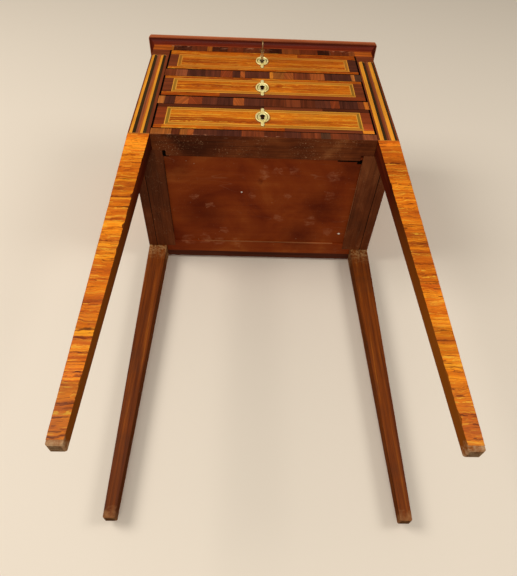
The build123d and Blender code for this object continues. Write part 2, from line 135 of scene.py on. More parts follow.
# %% [markdown]
# A pale world does the rest. Polished wood would mirror that world as a grey haze, so
# reflected rays meet a darker, warmer one, like the timber floor of a workshop.

# %% World
world = bpy.data.worlds.new("pale_room")
world.use_nodes = True
ray = world.node_tree.nodes.new("ShaderNodeLightPath")
sky = world.node_tree.nodes.new("ShaderNodeMix")
sky.data_type = "RGBA"
sky_socket = {socket.identifier: socket for socket in (*sky.inputs, *sky.outputs)}
sky_socket["A_Color"].default_value = (0.342, 0.324, 0.295, 1.0)
sky_socket["B_Color"].default_value = (0.075, 0.040, 0.012, 1.0)
background = world.node_tree.nodes["Background"]
world.node_tree.links.new(ray.outputs["Is Glossy Ray"], sky_socket["Factor_Float"])
world.node_tree.links.new(sky_socket["Result_Color"], background.inputs["Color"])
bpy.context.scene.world = world
print("world:", world.name)

# %% [markdown]
# ## Building finishes
#
# A finish is a small network of nodes that ends in one shader. Writing out each link
# would bury the idea, so a few helpers stand for the moves that every finish repeats:
# stretch the coordinates, draw some noise, turn a number into a colour, lay one colour
# over another through a mask.


# %% A finish and its moves
class Finish:
    """A material in the making: its node tree, with the shader waiting at the end."""

    def __init__(self, name):
        self.material = bpy.data.materials.new(name)
        self.material.use_nodes = True
        self.tree = self.material.node_tree
        self.shader = self.tree.nodes["Principled BSDF"]

    def feed(self, socket, value):
        if isinstance(value, bpy.types.NodeSocket):
            self.tree.links.new(value, socket)
        else:
            socket.default_value = value

    def add(self, kind, inputs=None, out=0, **settings):
        made = self.tree.nodes.new("ShaderNode" + kind)
        for key, value in settings.items():
            setattr(made, key, value)
        for socket, value in (inputs or {}).items():
            self.feed(made.inputs[socket], value)
        return made.outputs[out]

    def place(self):
        return self.add("TexCoord", out="Object")

    def along(self, axis):
        return self.add("SeparateXYZ", {"Vector": self.place()}, out=axis)

    def noise(self, vector, detail=3.0, rough=0.55, twist=0.0, scale=1.0, out="Fac"):
        return self.add("TexNoise", {"Vector": vector, "Scale": scale, "Detail": detail,
                                     "Roughness": rough, "Distortion": twist}, out=out)

    def stretched(self, vector, scale, detail, rough, twist=0.0):
        return self.noise(self.add("Mapping", {"Vector": vector, "Scale": scale}),
                          detail, rough, twist)

    def sway(self, place, amount, scale, detail=3.0, rough=0.5):
        """The place, pushed about a little, so that straight grain wanders."""
        push = self.noise(place, detail, rough, scale=scale, out="Color")
        centred = self.add("VectorMath", {0: push, 1: (0.5, 0.5, 0.5)}, operation="SUBTRACT")
        moved = self.add("VectorMath", {0: centred, "Scale": amount}, operation="SCALE")
        return self.add("VectorMath", {0: place, 1: moved}, operation="ADD")

    def ramp(self, value, stops):
        made = self.add("ValToRGB", {"Fac": value}, out="Color")
        colours = made.node.color_ramp.elements
        colours.remove(colours[1])
        colours[0].position, colours[0].color = stops[0][0], (*stops[0][1], 1.0)
        for position, colour in stops[1:]:
            colours.new(position).color = (*colour, 1.0)
        return made

    def level(self, value, low, high, to_low=0.0, to_high=1.0):
        """The value, stretched so that low and high land on to_low and to_high."""
        return self.add("MapRange", {"Value": value, "From Min": low, "From Max": high,
                                     "To Min": to_low, "To Max": to_high}, out="Result")

    def maths(self, operation, *values):
        return self.add("Math", dict(enumerate(values)), operation=operation)

    def times(self, first, *others):
        for value in others:
            first = self.maths("MULTIPLY", first, value)
        return first

    def mix(self, blend, share, under, over):
        made = self.add("Mix", data_type="RGBA", blend_type=blend).node
        named = {s.identifier: s for s in (*made.inputs, *made.outputs)}
        self.feed(named["Factor_Float"], share)
        for key, value in (("A_Color", under), ("B_Color", over)):
            linked = isinstance(value, bpy.types.NodeSocket)
            self.feed(named[key], value if linked else (*value, 1.0))
        return named["Result_Color"]

    def cover(self, under, mask, share, over):
        """One colour over another where a mask says so, and no more than its share."""
        return self.mix("MIX", self.times(mask, share), under, over)

    def shade(self, under, value, share, stops):
        """The colour, darkened and lightened by a value."""
        return self.mix("MULTIPLY", share, under, self.ramp(value, stops))

    def relief(self, height, strength, distance, under=None):
        inputs = {"Height": height, "Strength": strength, "Distance": distance}
        if under is not None:
            inputs["Normal"] = under
        return self.add("Bump", inputs, out="Normal")

    def close(self, colour, rough, normal=None, **fixed):
        """Joins the colour, roughness and relief to the shader; the rest are plain numbers."""
        for socket, value in (("Base Color", colour), ("Roughness", rough), ("Normal", normal)):
            if value is not None:
                self.feed(self.shader.inputs[socket], value)
        for socket, value in fixed.items():
            socket = socket.replace("_", " ").title().replace("Ior", "IOR")
            self.shader.inputs[socket].default_value = value
        return self.material


print("finish helpers ready")

# %% [markdown]
# The studio has a pale floor, and a pale wall close behind the table. Both are seen
# from one side only, so that neither hides the table from a camera behind or below it,
# and neither stands in the way of the lamps.


# %% Studio surfaces
def studio_plane(name, centre, turn, colour):
    shell = bmesh.new()
    bmesh.ops.create_grid(shell, x_segments=1, y_segments=1, size=studio_size / 2)
    bmesh.ops.rotate(shell, verts=shell.verts, matrix=Matrix.Rotation(turn, 3, "X"))
    bmesh.ops.translate(shell, verts=shell.verts, vec=centre)
    mesh = bpy.data.meshes.new(name)
    shell.to_mesh(mesh)
    shell.free()
    made = bpy.data.objects.new(name, mesh)
    bpy.context.scene.collection.objects.link(made)
    finish = Finish(name)
    finish.close((*colour, 1.0), 0.75)
    behind = finish.add("NewGeometry", out="Backfacing")
    clear = finish.add("BsdfTransparent", out="BSDF")
    shown = finish.add("MixShader", {0: behind, 1: finish.shader.outputs["BSDF"], 2: clear})
    finish.feed(finish.tree.nodes["Material Output"].inputs["Surface"], shown)
    mesh.materials.append(finish.material)
    made.visible_shadow = made.visible_diffuse = made.visible_glossy = False
    return made


studio_size = 7.0
wall_gap = 1.0 * MM
wall_place = (0, highest("top_board").y + wall_gap, 0.5)
studio_plane("studio_wall", wall_place, math.radians(90), (0.78, 0.69, 0.57))
studio_plane("studio_floor", (0, 0, 0), 0.0, (0.78, 0.70, 0.60))
print("studio wall stands at y =", round(wall_place[1], 4))

# %% [markdown]
# ## Timber
#
# Wood grain is noise that has been pulled out in one direction. Three layers make it
# convincing: broad streaks, fine fibres, and the short dark pores between them. The
# scales are in features per metre, so a fibre layer of 900 across the grain has lines a
# little over a millimetre apart. A fourth, shapeless layer dulls the polish.


# %% Wood recipe
def tint(red, green, blue):
    """A colour the way a paint chart gives it, 0 to 255, as the light a shader wants."""
    return tuple(((c / 255 + 0.055) / 1.055) ** 2.4 if c > 10 else c / 255 / 12.92
                 for c in (red, green, blue))


def shades(*stops):
    """The stops of a colour ramp, each a position and a paint-chart colour."""
    return [(position, tint(*colour)) for position, *colour in stops]


quarter_turn = math.radians(90)
GRAIN_TURNS = {"x": (0, 0, 0), "y": (0, 0, quarter_turn), "z": (0, quarter_turn, 0)}
grime = (0.06, 0.03, 0.015)


def grain_place(finish, grain):
    """Object coordinates turned so that the grain runs along the first axis."""
    return finish.add("Mapping", {"Vector": finish.place(), "Rotation": GRAIN_TURNS[grain]})


def wear_band(finish, colour, axis, start, end, worn, share=1.0, rag=8 * MM, until=None):
    """The colour, worn to another one between two planes, with a ragged limit."""
    place = finish.along(axis)
    if rag:
        ragged = finish.noise(finish.place(), 5.0, 0.7, 0.3, scale=130.0)
        place = finish.maths("ADD", place, finish.level(ragged, 0.3, 0.7, -rag, rag))
    band = finish.level(place, start, end)
    if until:
        mottle = finish.noise(finish.place(), 5.0, 0.75, 0.2, scale=240.0)
        band = finish.times(band, finish.level(place, *until), finish.level(mottle, 0.44, 0.58))
    return finish.cover(colour, band, share, worn)


def wood(name, grain, stops, seed, streaks=(2.5, 70, 70), fibres=(14, 900, 900), fibre_depth=0.35,
         dull=0.30, gloss=(0.45, 0.65), coat=0.0, shine=0.18, wear=()):
    finish = Finish(name)
    place = finish.add("Mapping", {"Vector": grain_place(finish, grain),
                                   "Location": (seed, seed * 1.7, seed * 0.6)})
    broad = finish.stretched(place, streaks, 5.0, 0.62, 0.5)
    fine = finish.stretched(place, fibres, 3.0, 0.6)
    pores = finish.level(finish.stretched(place, (30, 1300, 1300), 2.0, 0.5), 0.60, 0.72)
    cloud = finish.noise(place, 4.0, 0.6, 0.3, scale=9.0)
    scuffs = finish.noise(place, 6.0, 0.7, 0.8, scale=38.0)
    colour = finish.ramp(finish.level(broad, 0.28, 0.72), stops)
    colour = finish.shade(colour, fine, fibre_depth,
                          [(0.30, (0.45, 0.40, 0.36)), (0.62, (1.15, 1.12, 1.08))])
    colour = finish.cover(colour, pores, 0.45, grime)
    colour = finish.cover(colour, finish.level(cloud, 0.52, 0.80), 0.35, grime)
    colour = finish.shade(colour, cloud, 1.0,
                          [(0.25, (1.06, 1.05, 1.03)), (0.75, [1.0 - dull] * 3)])
    for band in wear:
        colour = wear_band(finish, colour, *band)
    height = finish.maths("SUBTRACT", finish.times(fine, 0.5), pores)
    return finish.close(colour, finish.level(scuffs, 0.3, 0.75, *gloss),
                        finish.relief(height, 0.12, 0.2 * MM),
                        coat_weight=coat, coat_roughness=0.18, specular_ior_level=shine)


print("wood recipe ready")

# %% [markdown]
# The carcase is softwood and oak under a red-brown stain. The rear legs have lost it on
# their shoulders and feet. The inner faces of the front legs are darkest at the top and
# lighter towards the foot, and just above the case bottom they are painted black as
# painted shade in the gaps beside the drawers. The edges of the drawer fronts and rails
# are painted black as painted shade of the gaps, where they meet the veneer.

# %% Timber finishes
leg_stops = shades((0.0, 84, 32, 2), (0.4, 112, 50, 4), (0.75, 128, 60, 7), (1.0, 158, 86, 18))
frame_stops = shades((0.0, 50, 16, 7), (0.4, 80, 32, 14), (0.75, 98, 44, 20), (1.0, 124, 64, 34))
red_dark_stops = shades((0.0, 52, 10, 2), (0.5, 80, 22, 5), (1.0, 108, 42, 11))
oak_stops = shades((0.0, 112, 74, 40), (0.45, 150, 106, 62), (1.0, 184, 142, 92))

plain = {"dull": 0.15, "gloss": (0.42, 0.66)}
stained_x = wood("stained_board_level", "x", frame_stops, 1.3, **plain)
stained_y = wood("stained_board_deep", "y", frame_stops, 2.2, **plain)
worn_foot = ("Z", 12 * MM, -6 * MM, tint(160, 112, 66), 0.8)
worn_shoulder = ("Z", 420 * MM, 452 * MM, tint(178, 138, 88), 0.8, 8 * MM, (456 * MM, 452 * MM))
leg_wood = wood("stained_leg", "z", leg_stops, 6.1, (3.5, 230, 230), (22, 1100, 1100), 0.6,
                coat=0.03, shine=0.12, wear=[worn_foot, worn_shoulder])
# The inner faces turn a lighter brown towards the foot and stay darkest at the top.
lighter_low = ("Z", 350 * MM, 130 * MM, tint(146, 76, 2), 0.7)
bare_foot = ("Z", 9 * MM, -3 * MM, tint(182, 146, 106), 0.9)
# Painted shade: the inner face turns black just above the case bottom, standing in for the shade in
# the gap beside the drawers.
stile_gap_shade = ("Z", case_bottom_z + 6 * MM, case_bottom_z + 14 * MM, tint(16, 6, 3), 1.0)
leg_inner = wood("front_leg_inner_face", "z", red_dark_stops, 5.2, shine=0.08,
                 wear=[lighter_low, bare_foot, stile_gap_shade])
# Painted shade: the edges of the drawer fronts and rails go black next to the veneer, standing in
# for the shade in the gaps round the drawers.
painted_gap_shade = ("Y", front + 2.2 * MM, front + 0.9 * MM, tint(13, 5, 3), 1.0, 0)
edge_wood = wood("drawer_front_core", "x", frame_stops, 3.3, gloss=(0.6, 0.8), shine=0.05,
                 wear=[painted_gap_shade])
lining_x = wood("drawer_lining_level", "x", oak_stops, 7.3, gloss=(0.5, 0.75))
lining_y = wood("drawer_lining_deep", "y", oak_stops, 8.2, gloss=(0.5, 0.75))
print("timber finishes:", [m.name for m in (stained_x, leg_wood, leg_inner, edge_wood, lining_x)])

# %% [markdown]
# The board under the case was stained once and never polished. Years of being slid over
# and set down have left pale smears, ring-shaped scuffs and fine scratches in it. The
# scratches are thin slices of noise that has been pulled out long, at two angles, and
# each smear is a soft spot whose edge has been shaken out of round.


# %% Worn underside
def scratch_lines(finish, place, angle, spacing, keep):
    """Thin straight scratches at an angle, kept only where a noise is high."""
    turned = finish.add("Mapping", {"Vector": place, "Rotation": (0, 0, math.radians(angle)),
                                    "Scale": (14.0, spacing, 3.0)})
    off_centre = finish.maths("SUBTRACT", finish.noise(turned, 1.0, 0.4, 0.15), 0.5)
    thin = finish.level(finish.maths("ABSOLUTE", off_centre), 0.012, 0.0)
    where = finish.noise(place, 2.0, 0.5, 0.0, scale=16.0 + angle * 0.05)
    return finish.times(thin, finish.level(where, keep, keep + 0.06))


def spot(finish, place, x, depth, radius, soft):
    """The distance from a place on the underside, and a spot that fades towards its rim."""
    centre = (x * MM, front + depth * MM, case_bottom_z)
    reach = finish.add("VectorMath", {0: place, 1: centre}, out="Value", operation="DISTANCE")
    return reach, finish.level(reach, radius * MM, (radius - soft) * MM)


def worn_underside(name, grain, stops, seed=0.0, rough=(0.55, 0.8), coarse=0.6, flecks=0.35,
                   rubbed=(), shaded=()):
    finish = Finish(name)
    place = finish.add("Mapping", {"Vector": grain_place(finish, grain),
                                   "Location": (seed, seed, 0)})
    broad = finish.stretched(place, (3.0, 60, 60), 4.0, 0.6, 0.5)
    fine = finish.stretched(place, (14, 700, 700), 3.0, 0.6)
    cloud = finish.noise(place, 4.0, 0.6, 0.8, scale=9.0)
    body = finish.maths("ADD", finish.times(broad, 0.25), finish.times(cloud, 0.75))
    colour = finish.ramp(finish.level(body, 0.35, 0.65), stops)
    colour = finish.shade(colour, fine, coarse,
                          [(0.35, (0.55, 0.5, 0.45)), (0.6, (1.12, 1.1, 1.06))])
    shaky = finish.sway(finish.place(), 0.035, 55.0, 5.0, 0.7)
    for x, depth, radius in shaded:
        _, inside = spot(finish, shaky, x, depth, radius, radius)
        colour = finish.mix("MULTIPLY", inside, colour, (0.50, 0.36, 0.22))
    rub = finish.level(finish.stretched(place, (70, 210, 210), 7.0, 0.75, 0.6), 0.43, 0.62)
    for x, depth, radius in rubbed:
        reach, inside = spot(finish, shaky, x, depth, radius, radius * 0.7)
        from_ring = finish.maths("ABSOLUTE", finish.maths("SUBTRACT", reach, radius * 0.72 * MM))
        ring = finish.level(from_ring, 0.9 * MM, 0.0)
        shape = finish.maths("MAXIMUM", finish.times(inside, 0.42), finish.times(ring, 0.6))
        colour = finish.cover(colour, finish.times(shape, rub), 0.75, tint(206, 138, 98))
    scratches = finish.maths("MAXIMUM", scratch_lines(finish, place, 38.0, 90.0, 0.61),
                             scratch_lines(finish, place, -62.0, 80.0, 0.60))
    colour = finish.cover(colour, scratches, 0.14, tint(196, 146, 108))
    dusty = finish.level(finish.noise(place, 3.0, 0.6, 0.4, scale=24.0), 0.46, 0.62)
    dust = finish.level(finish.noise(place, 5.0, 0.75, 0.2, scale=420.0), 0.57, 0.66)
    colour = finish.cover(colour, finish.times(dusty, dust), flecks, tint(196, 148, 104))
    specks = finish.level(finish.noise(place, 1.0, 0.4, 0.0, scale=210.0), 0.80, 0.84)
    colour = finish.cover(colour, specks, 0.6, tint(190, 150, 116))
    height = finish.maths("SUBTRACT", finish.times(fine, 0.5), scratches)
    return finish.close(colour, finish.level(cloud, 0.3, 0.7, *rough),
                        finish.relief(height, 0.2, 0.2 * MM), specular_ior_level=0.10)


print("underside recipe ready")

# %% [markdown]
# Each smear is given by its place to the right of the middle, its depth behind the
# front, and its radius, all in millimetres. Broad dark clouds are given the same way,
# and so is one small knot.

# %% Underside finishes
SMEARS = [(4, 64, 13), (24, 60, 8), (49, 60, 9), (112, 68, 12), (-16, 110, 8), (42, 108, 8),
          (108, 106, 9), (-84, 132, 7), (30, 156, 9), (85, 160, 12), (-63, 186, 10),
          (118, 184, 10), (-124, 208, 14), (-94, 208, 12), (-72, 212, 11), (-40, 214, 9),
          (-110, 118, 8)]
DARK_CLOUDS = [(-98, 148, 48), (102, 134, 44), (-136, 52, 36), (140, 52, 32), (70, 196, 40)]
KNOT = (-1, 80, 9)
board_stops = shades((0.0, 112, 36, 6), (0.35, 133, 50, 8), (0.7, 144, 60, 13), (1.0, 160, 78, 27))
rough_stops = shades((0.0, 62, 24, 7), (0.4, 100, 44, 14), (0.7, 120, 58, 22), (1.0, 150, 88, 46))
side_stops = shades((0.0, 88, 42, 18), (0.5, 110, 52, 21), (1.0, 142, 78, 40))
under_board = worn_underside("stained_underside", "x", board_stops, rough=(0.45, 0.7), coarse=0.15,
                             flecks=0.14, rubbed=SMEARS, shaded=[*DARK_CLOUDS, KNOT])
under_front = worn_underside("rough_front_underside", "x", rough_stops, 3.7, coarse=0.8,
                             flecks=0.75)
under_side = worn_underside("rough_side_underside", "y", side_stops, 6.1)
under_edge = worn_underside("panel_edge_underside", "y", side_stops, 9.4, (0.45, 0.7), flecks=0.5)
print("smears:", len(SMEARS), "dark clouds:", len(DARK_CLOUDS))

# %% [markdown]
# Each carcase board takes the finish whose grain runs along its own length.


# %% Boards take their finish
def dress(material, *names):
    for name in names:
        mesh = nodes[name].data
        mesh.materials.clear()
        mesh.materials.append(material)


rails = ("bottom_rail", "lower_rail", "upper_rail", "top_rail")
for side in both_sides:
    dress(under_edge, f"side_panel_{side}")
    dress(leg_inner, f"front_leg_{side}")
    dress(leg_wood, f"rear_leg_{side}")
    dress(stained_y, f"top_runner_{side}", f"middle_runner_{side}")
    dress(under_side, f"bottom_runner_{side}")
    dress(lining_y, f"kicker_{side}")
dress(stained_x, "back_panel", "top_board")
dress(under_board, "rear_rail", "case_bottom")
dress(edge_wood, *rails[1:])
dress(under_front, "bottom_rail")
dress(lining_x, "dust_board_lower", "dust_board_upper", "drawer_stops")
for d in drawers:
    dress(edge_wood, f"{d}_drawer_front")
    dress(lining_x, f"{d}_drawer_back")
    dress(lining_y, f"{d}_drawer_side_left", f"{d}_drawer_side_right", f"{d}_drawer_bottom")
print("boards dressed:", sum(1 for node in nodes.values() if node.data.materials))

# %% [markdown]
# ## Veneers
#
# A marquetry maker never uses one sheet of wood for a whole table. Each patch is cut
# from its own leaf, so neighbours differ in tone and in the run of the grain. The same
# idea keeps the finishes few: every patch of the mesh carries two marks, a tone and a
# figure, and one finish reads both. The figure holds the angle of the grain, a seed
# that picks a different part of the noise, and the strength of the streaks.


# %% Marks and polish
LEAF_AXES = {"x": ("Y", "Z", "X"), "y": ("X", "Z", "Y"), "z": ("X", "Y", "Z")}


def leaf_place(finish, facing):
    """Coordinates that lie in the leaf: the first runs along the grain of this patch."""
    parts = finish.add("SeparateXYZ", {"Vector": finish.place()}).node.outputs
    flat = finish.add("CombineXYZ", {to: parts[axis] for to, axis in zip("XYZ", LEAF_AXES[facing])})
    figure = finish.add("Attribute", out="Vector", attribute_name="figure")
    angle, seed, strength = finish.add("SeparateXYZ", {"Vector": figure}).node.outputs
    turned = finish.add("VectorRotate", {"Vector": flat, "Angle": angle}, rotation_type="Z_AXIS")
    moved = finish.add("CombineXYZ", {"X": seed, "Y": finish.times(seed, 1.37), "Z": seed})
    return finish.add("VectorMath", {0: turned, 1: moved}, operation="ADD"), strength


def leaf_layers(finish, place, streaks, twist):
    pores = finish.stretched(place, (45, 1500, 1500), 2.0, 0.5)
    return (finish.stretched(place, streaks, 5.0, 0.62, twist),
            finish.stretched(place, (16, 1000, 1000), 3.0, 0.6), finish.level(pores, 0.58, 0.70))


def polish(finish, colour, fine, pores, rough=(0.26, 0.48), coat=0.06, shine=0.22):
    scuffs = finish.noise(finish.place(), 5.0, 0.7, 0.6, scale=45.0)
    cloud = finish.noise(finish.place(), 3.0, 0.6, 0.4, scale=11.0)
    colour = finish.shade(colour, cloud, 1.0,
                          [(0.3, (1.08, 1.06, 1.03)), (0.72, (0.80, 0.78, 0.76))])
    ripple = finish.relief(finish.noise(finish.place(), 2.0, 0.5, scale=60.0), 0.25, 0.3 * MM)
    height = finish.maths("SUBTRACT", finish.times(fine, 0.4), finish.times(pores, 0.8))
    return finish.close(colour, finish.level(scuffs, 0.3, 0.75, *rough),
                        finish.relief(height, 0.10, 0.15 * MM, ripple),
                        coat_weight=coat, coat_roughness=0.15, specular_ior_level=shine)


print("a leaf's grain lies in", LEAF_AXES)

# %% [markdown]
# Tulipwood is orange, with yellow flashes and thin dark streaks. Its recipe lays those
# over a body whose tone wanders slowly from leaf to leaf.


# %% Tulipwood
def tulipwood(facing, name, light, wander, streaks):
    finish = Finish(f"{name}_facing_{facing}")
    place, strength = leaf_place(finish, facing)
    place = finish.sway(place, wander, 55.0)
    broad, fine, pores = leaf_layers(finish, place, streaks, 1.0)
    wide = finish.stretched(place, (2.5, 50, 50), 4.0, 0.6, 0.9)
    line = finish.stretched(place, (9.0, 330, 330), 2.0, 0.5, 0.6)
    stops = shades((0.0, 150, 62, 6), (0.35, 194, 96, 8), (0.65, 216, 118, 12), (1.0, 238, 154, 30))
    lit = [(at, [min(1.0, c * light) for c in tone]) for at, tone in stops]
    body = finish.ramp(finish.level(wide, 0.30, 0.70), lit)
    body = finish.cover(body, finish.level(broad, 0.55, 0.64), 0.75, tint(246, 182, 54))
    body = finish.cover(body, finish.level(broad, 0.45, 0.34), strength, tint(104, 40, 8))
    body = finish.cover(body, finish.level(line, 0.36, 0.29), strength, tint(70, 24, 6))
    body = finish.shade(body, fine, 0.45, [(0.32, (0.50, 0.42, 0.36)), (0.60, (1.12, 1.10, 1.06))])
    body = finish.cover(body, pores, 0.30, tint(84, 34, 10))
    tone = finish.add("Attribute", out="Color", attribute_name="tone")
    return polish(finish, finish.mix("MULTIPLY", 1.0, body, tone), fine, pores)


tulip = {facing: tulipwood(facing, "tulipwood", 1.0, 6 * MM, (8.0, 300, 300)) for facing in "xyz"}
leg_tulip = {facing: tulipwood(facing, "leg_tulipwood", 1.18, 7 * MM, (16.0, 330, 330))
             for facing in "xy"}
print("tulipwood:", [m.name for m in (*tulip.values(), *leg_tulip.values())])

# %% [markdown]
# The bands are cut from woods of every colour. The tone says which wood it is, and the
# streaks only lighten and darken it. Where a rail meets the open air below or the
# moulding above, its band is chipped or scratched down to pale wood.


# %% Banding
def banding_wood(facing, name="banding", chipped=None):
    finish = Finish(f"{name}_facing_{facing}")
    place, strength = leaf_place(finish, facing)
    broad, fine, pores = leaf_layers(finish, place, (7.0, 190, 190), 0.8)
    tone = finish.add("Attribute", out="Color", attribute_name="tone")
    body = finish.shade(tone, broad, strength, [(0.30, (0.50, 0.42, 0.38)),
                                                (0.48, (0.92, 0.90, 0.88)),
                                                (0.70, (1.55, 1.40, 1.20))])
    body = finish.shade(body, fine, 0.40, [(0.32, (0.55, 0.50, 0.46)), (0.60, (1.12, 1.10, 1.08))])
    body = finish.cover(body, pores, 0.28, tint(34, 14, 6))
    if chipped:
        edge, limit, share = chipped
        bites = finish.stretched(finish.place(), (90, 90, 220), 5.0, 0.7, 0.6)
        where = finish.level(finish.noise(finish.place(), 2.0, 0.5, scale=22.0), 0.46, 0.56)
        near_edge = finish.level(finish.along("Z"), limit, edge)
        chips = finish.times(finish.level(bites, 0.56, 0.60), where, near_edge)
        body = finish.cover(body, chips, share, tint(206, 140, 104))
    return polish(finish, body, fine, pores)


banding = {facing: banding_wood(facing) for facing in "xyz"}
rail_banding = {
    "bottom_rail": banding_wood("y", "chipped_lower_banding",
                                (case_bottom_z, case_bottom_z + 3.5 * MM, 0.8)),
    "top_rail": banding_wood("y", "scratched_upper_banding",
                             (case_top_z, case_top_z - 16 * MM, 0.5)),
}
print("banding:", [m.name for m in (*banding.values(), *rail_banding.values())])

# %% [markdown]
# Every mesh here is shaped by a few moves of the bench. A face is cut along a plane, a
# flat shape is thickened into a sheet, a cube is scaled to a block, an edge is rounded.

# %% Bench moves
tiny = 1e-7


def new_faces(shell, old):
    return [face for face in shell.faces if face not in old]


def cut(shell, faces, point, normal):
    edges = list({edge for face in faces for edge in face.edges})
    verts = list({vert for face in faces for vert in face.verts})
    bmesh.ops.bisect_plane(shell, geom=faces + edges + verts, dist=tiny, plane_co=point,
                           plane_no=normal)


def thicken(shell, faces, out):
    """Pulls a copy of some flat faces out into a sheet, and keeps the faces as its back."""
    made = bmesh.ops.extrude_face_region(shell, geom=faces, use_keep_orig=True)["geom"]
    verts = [item for item in made if isinstance(item, bmesh.types.BMVert)]
    bmesh.ops.translate(shell, verts=verts, vec=out)


def block(shell, x, y, z):
    """A box between limits."""
    made = bmesh.ops.create_cube(shell, size=1.0)["verts"]
    bmesh.ops.scale(shell, verts=made, vec=(x[1] - x[0], y[1] - y[0], z[1] - z[0]))
    bmesh.ops.translate(shell, verts=made, vec=[sum(limits) / 2 for limits in (x, y, z)])
    return made


def round_over(shell, edges, width, segments):
    bmesh.ops.bevel(shell, geom=list(set(edges)), offset=width, offset_type="OFFSET",
                    segments=segments, profile=0.5, affect="EDGES", material=-1, clamp_overlap=True)


def arch(shell, centre, radius, points, end_z):
    """A disc facing the front, with the half on the end's side pulled straight out to it."""
    old = set(shell.faces)
    turn = Matrix.Translation(centre) @ Matrix.Rotation(quarter_turn, 4, "X")
    turn = turn @ Matrix.Rotation(math.pi / points, 4, "Z")
    made = bmesh.ops.create_circle(shell, cap_ends=True, radius=radius, segments=points,
                                   matrix=turn)["verts"]
    for vert in made:
        if (vert.co.z - centre[2]) * (end_z - centre[2]) > 0:
            vert.co.z = end_z
    return new_faces(shell, old)


def finish_piece(name, shell, materials, body, smooth=False):
    """Turns a shell into an object that rides on its body."""
    bmesh.ops.recalc_face_normals(shell, faces=shell.faces)
    mesh = bpy.data.meshes.new(name)
    shell.to_mesh(mesh)
    shell.free()
    for material in materials:
        mesh.materials.append(material)
    if smooth:
        mesh.polygons.foreach_set("use_smooth", [True] * len(mesh.polygons))
    made = bpy.data.objects.new(name, mesh)
    bpy.context.scene.collection.objects.link(made)
    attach(made, body)
    return made


print("bench moves ready")

# %% [markdown]
# A patch of veneer is a thin slab with its arrises barely eased. The marks go on its
# faces after the bevel, because the bevel makes faces of its own. The seed of each
# patch comes from one pair of dice, rolled in order, so the table is the same each time.

# %% Patches
proud = 0.30 * MM
hair = 0.1 * MM
joint_gap = 0.12 * MM
across, upright = 0.0, math.radians(90)
dice = random.Random(12)


def start_shell():
    shell = bmesh.new()
    shell.faces.layers.float_color.new("tone")
    shell.faces.layers.float_vector.new("figure")
    return shell


def mark(shell, faces, tone=(1.0, 1.0, 1.0), angle=across, seed=None, strength=0.8, slot=0):
    tones = shell.faces.layers.float_color["tone"]
    figures = shell.faces.layers.float_vector["figure"]
    seed = dice.uniform(0, 40) if seed is None else seed
    for face in faces:
        face[tones] = (*tone, 1.0)
        face[figures] = (angle, seed, strength)
        face.material_index = slot


def slab(shell, x, y, z, ease=0.12 * MM, **marks):
    """A thin box between limits, with its edges eased, carrying one set of marks."""
    old = set(shell.faces)
    made = block(shell, x, y, z)
    if ease:
        round_over(shell, [edge for vert in made for edge in vert.link_edges], ease, 1)
    mark(shell, new_faces(shell, old), **marks)


def butted(limits):
    """Limits drawn in at both ends, to leave the hair's width of a joint."""
    return limits[0] + joint_gap / 2, limits[1] - joint_gap / 2


def in_mm(*lengths):
    return tuple(length * MM for length in lengths)


print("a patch stands", round(proud / MM, 2), "mm proud of its board")

# %% [markdown]
# ### Rails
#
# The rails between the drawers are cross-banded: short pieces, grain upright, butted
# side by side. Each run below reads from the left: the place where a piece starts, the
# wood it is cut from, and how far its grain leans, where it does.

# %% Rail bands
WOODS = {name: tint(*colour) for name, colour in {
    "purple": (84, 42, 30), "dark purple": (66, 34, 28), "black brown": (44, 20, 14),
    "grey brown": (76, 54, 40), "dark brown": (84, 36, 18), "red brown": (120, 56, 28),
    "red": (136, 58, 24), "pink brown": (140, 76, 46), "orange red": (168, 86, 34),
    "orange brown": (160, 92, 34), "tan": (186, 112, 48), "orange": (200, 112, 30),
    "bright orange": (224, 136, 36),
}.items()}
RAIL_RUNS = {
    "upper_rail": [(-164, "red brown"), (-146, "pink brown"), (-127, "dark purple"),
                   (-98, "purple"), (-72, "red", 12), (-52, "dark purple"),
                   (-39, "orange red", -28), (-31, "purple"), (10, "bright orange", 10),
                   (16, "orange brown", 20), (34, "orange red", -14), (50, "red brown"),
                   (78, "orange red", 8), (102, "dark purple"), (147, "tan"),
                   (153, "grey brown")],
    "lower_rail": [(-164, "tan"), (-154, "dark purple"), (-138, "orange red", 30),
                   (-117, "red", -25), (-96, "purple"), (-72, "dark purple"),
                   (-48, "orange red", -18), (-31, "purple"), (0, "dark brown"),
                   (31, "red brown"), (57, "dark brown"), (80, "purple"), (104, "red", 15),
                   (118, "dark purple"), (147, "red brown"), (157, "orange")],
    "bottom_rail": [(-164, "orange brown"), (-134, "dark brown"), (-122, "orange brown"),
                    (-111, "orange red", 32), (-102, "purple"), (-68, "dark purple"),
                    (-33, "red brown"), (0, "dark brown"), (28, "purple"), (53, "red brown"),
                    (82, "grey brown"), (96, "red brown"), (122, "purple"), (143, "pink brown")],
    "top_rail": [(-164, "orange"), (-159, "dark brown"), (-128, "red brown"), (-100, "orange"),
                 (-91, "dark brown"), (-64, "red"), (-36, "red brown", 14), (11, "black brown"),
                 (33, "orange red"), (65, "red", 10), (97, "black brown"), (118, "pink brown"),
                 (121, "red"), (153, "orange red")],
}
rail_end = 164
evening = 0.18
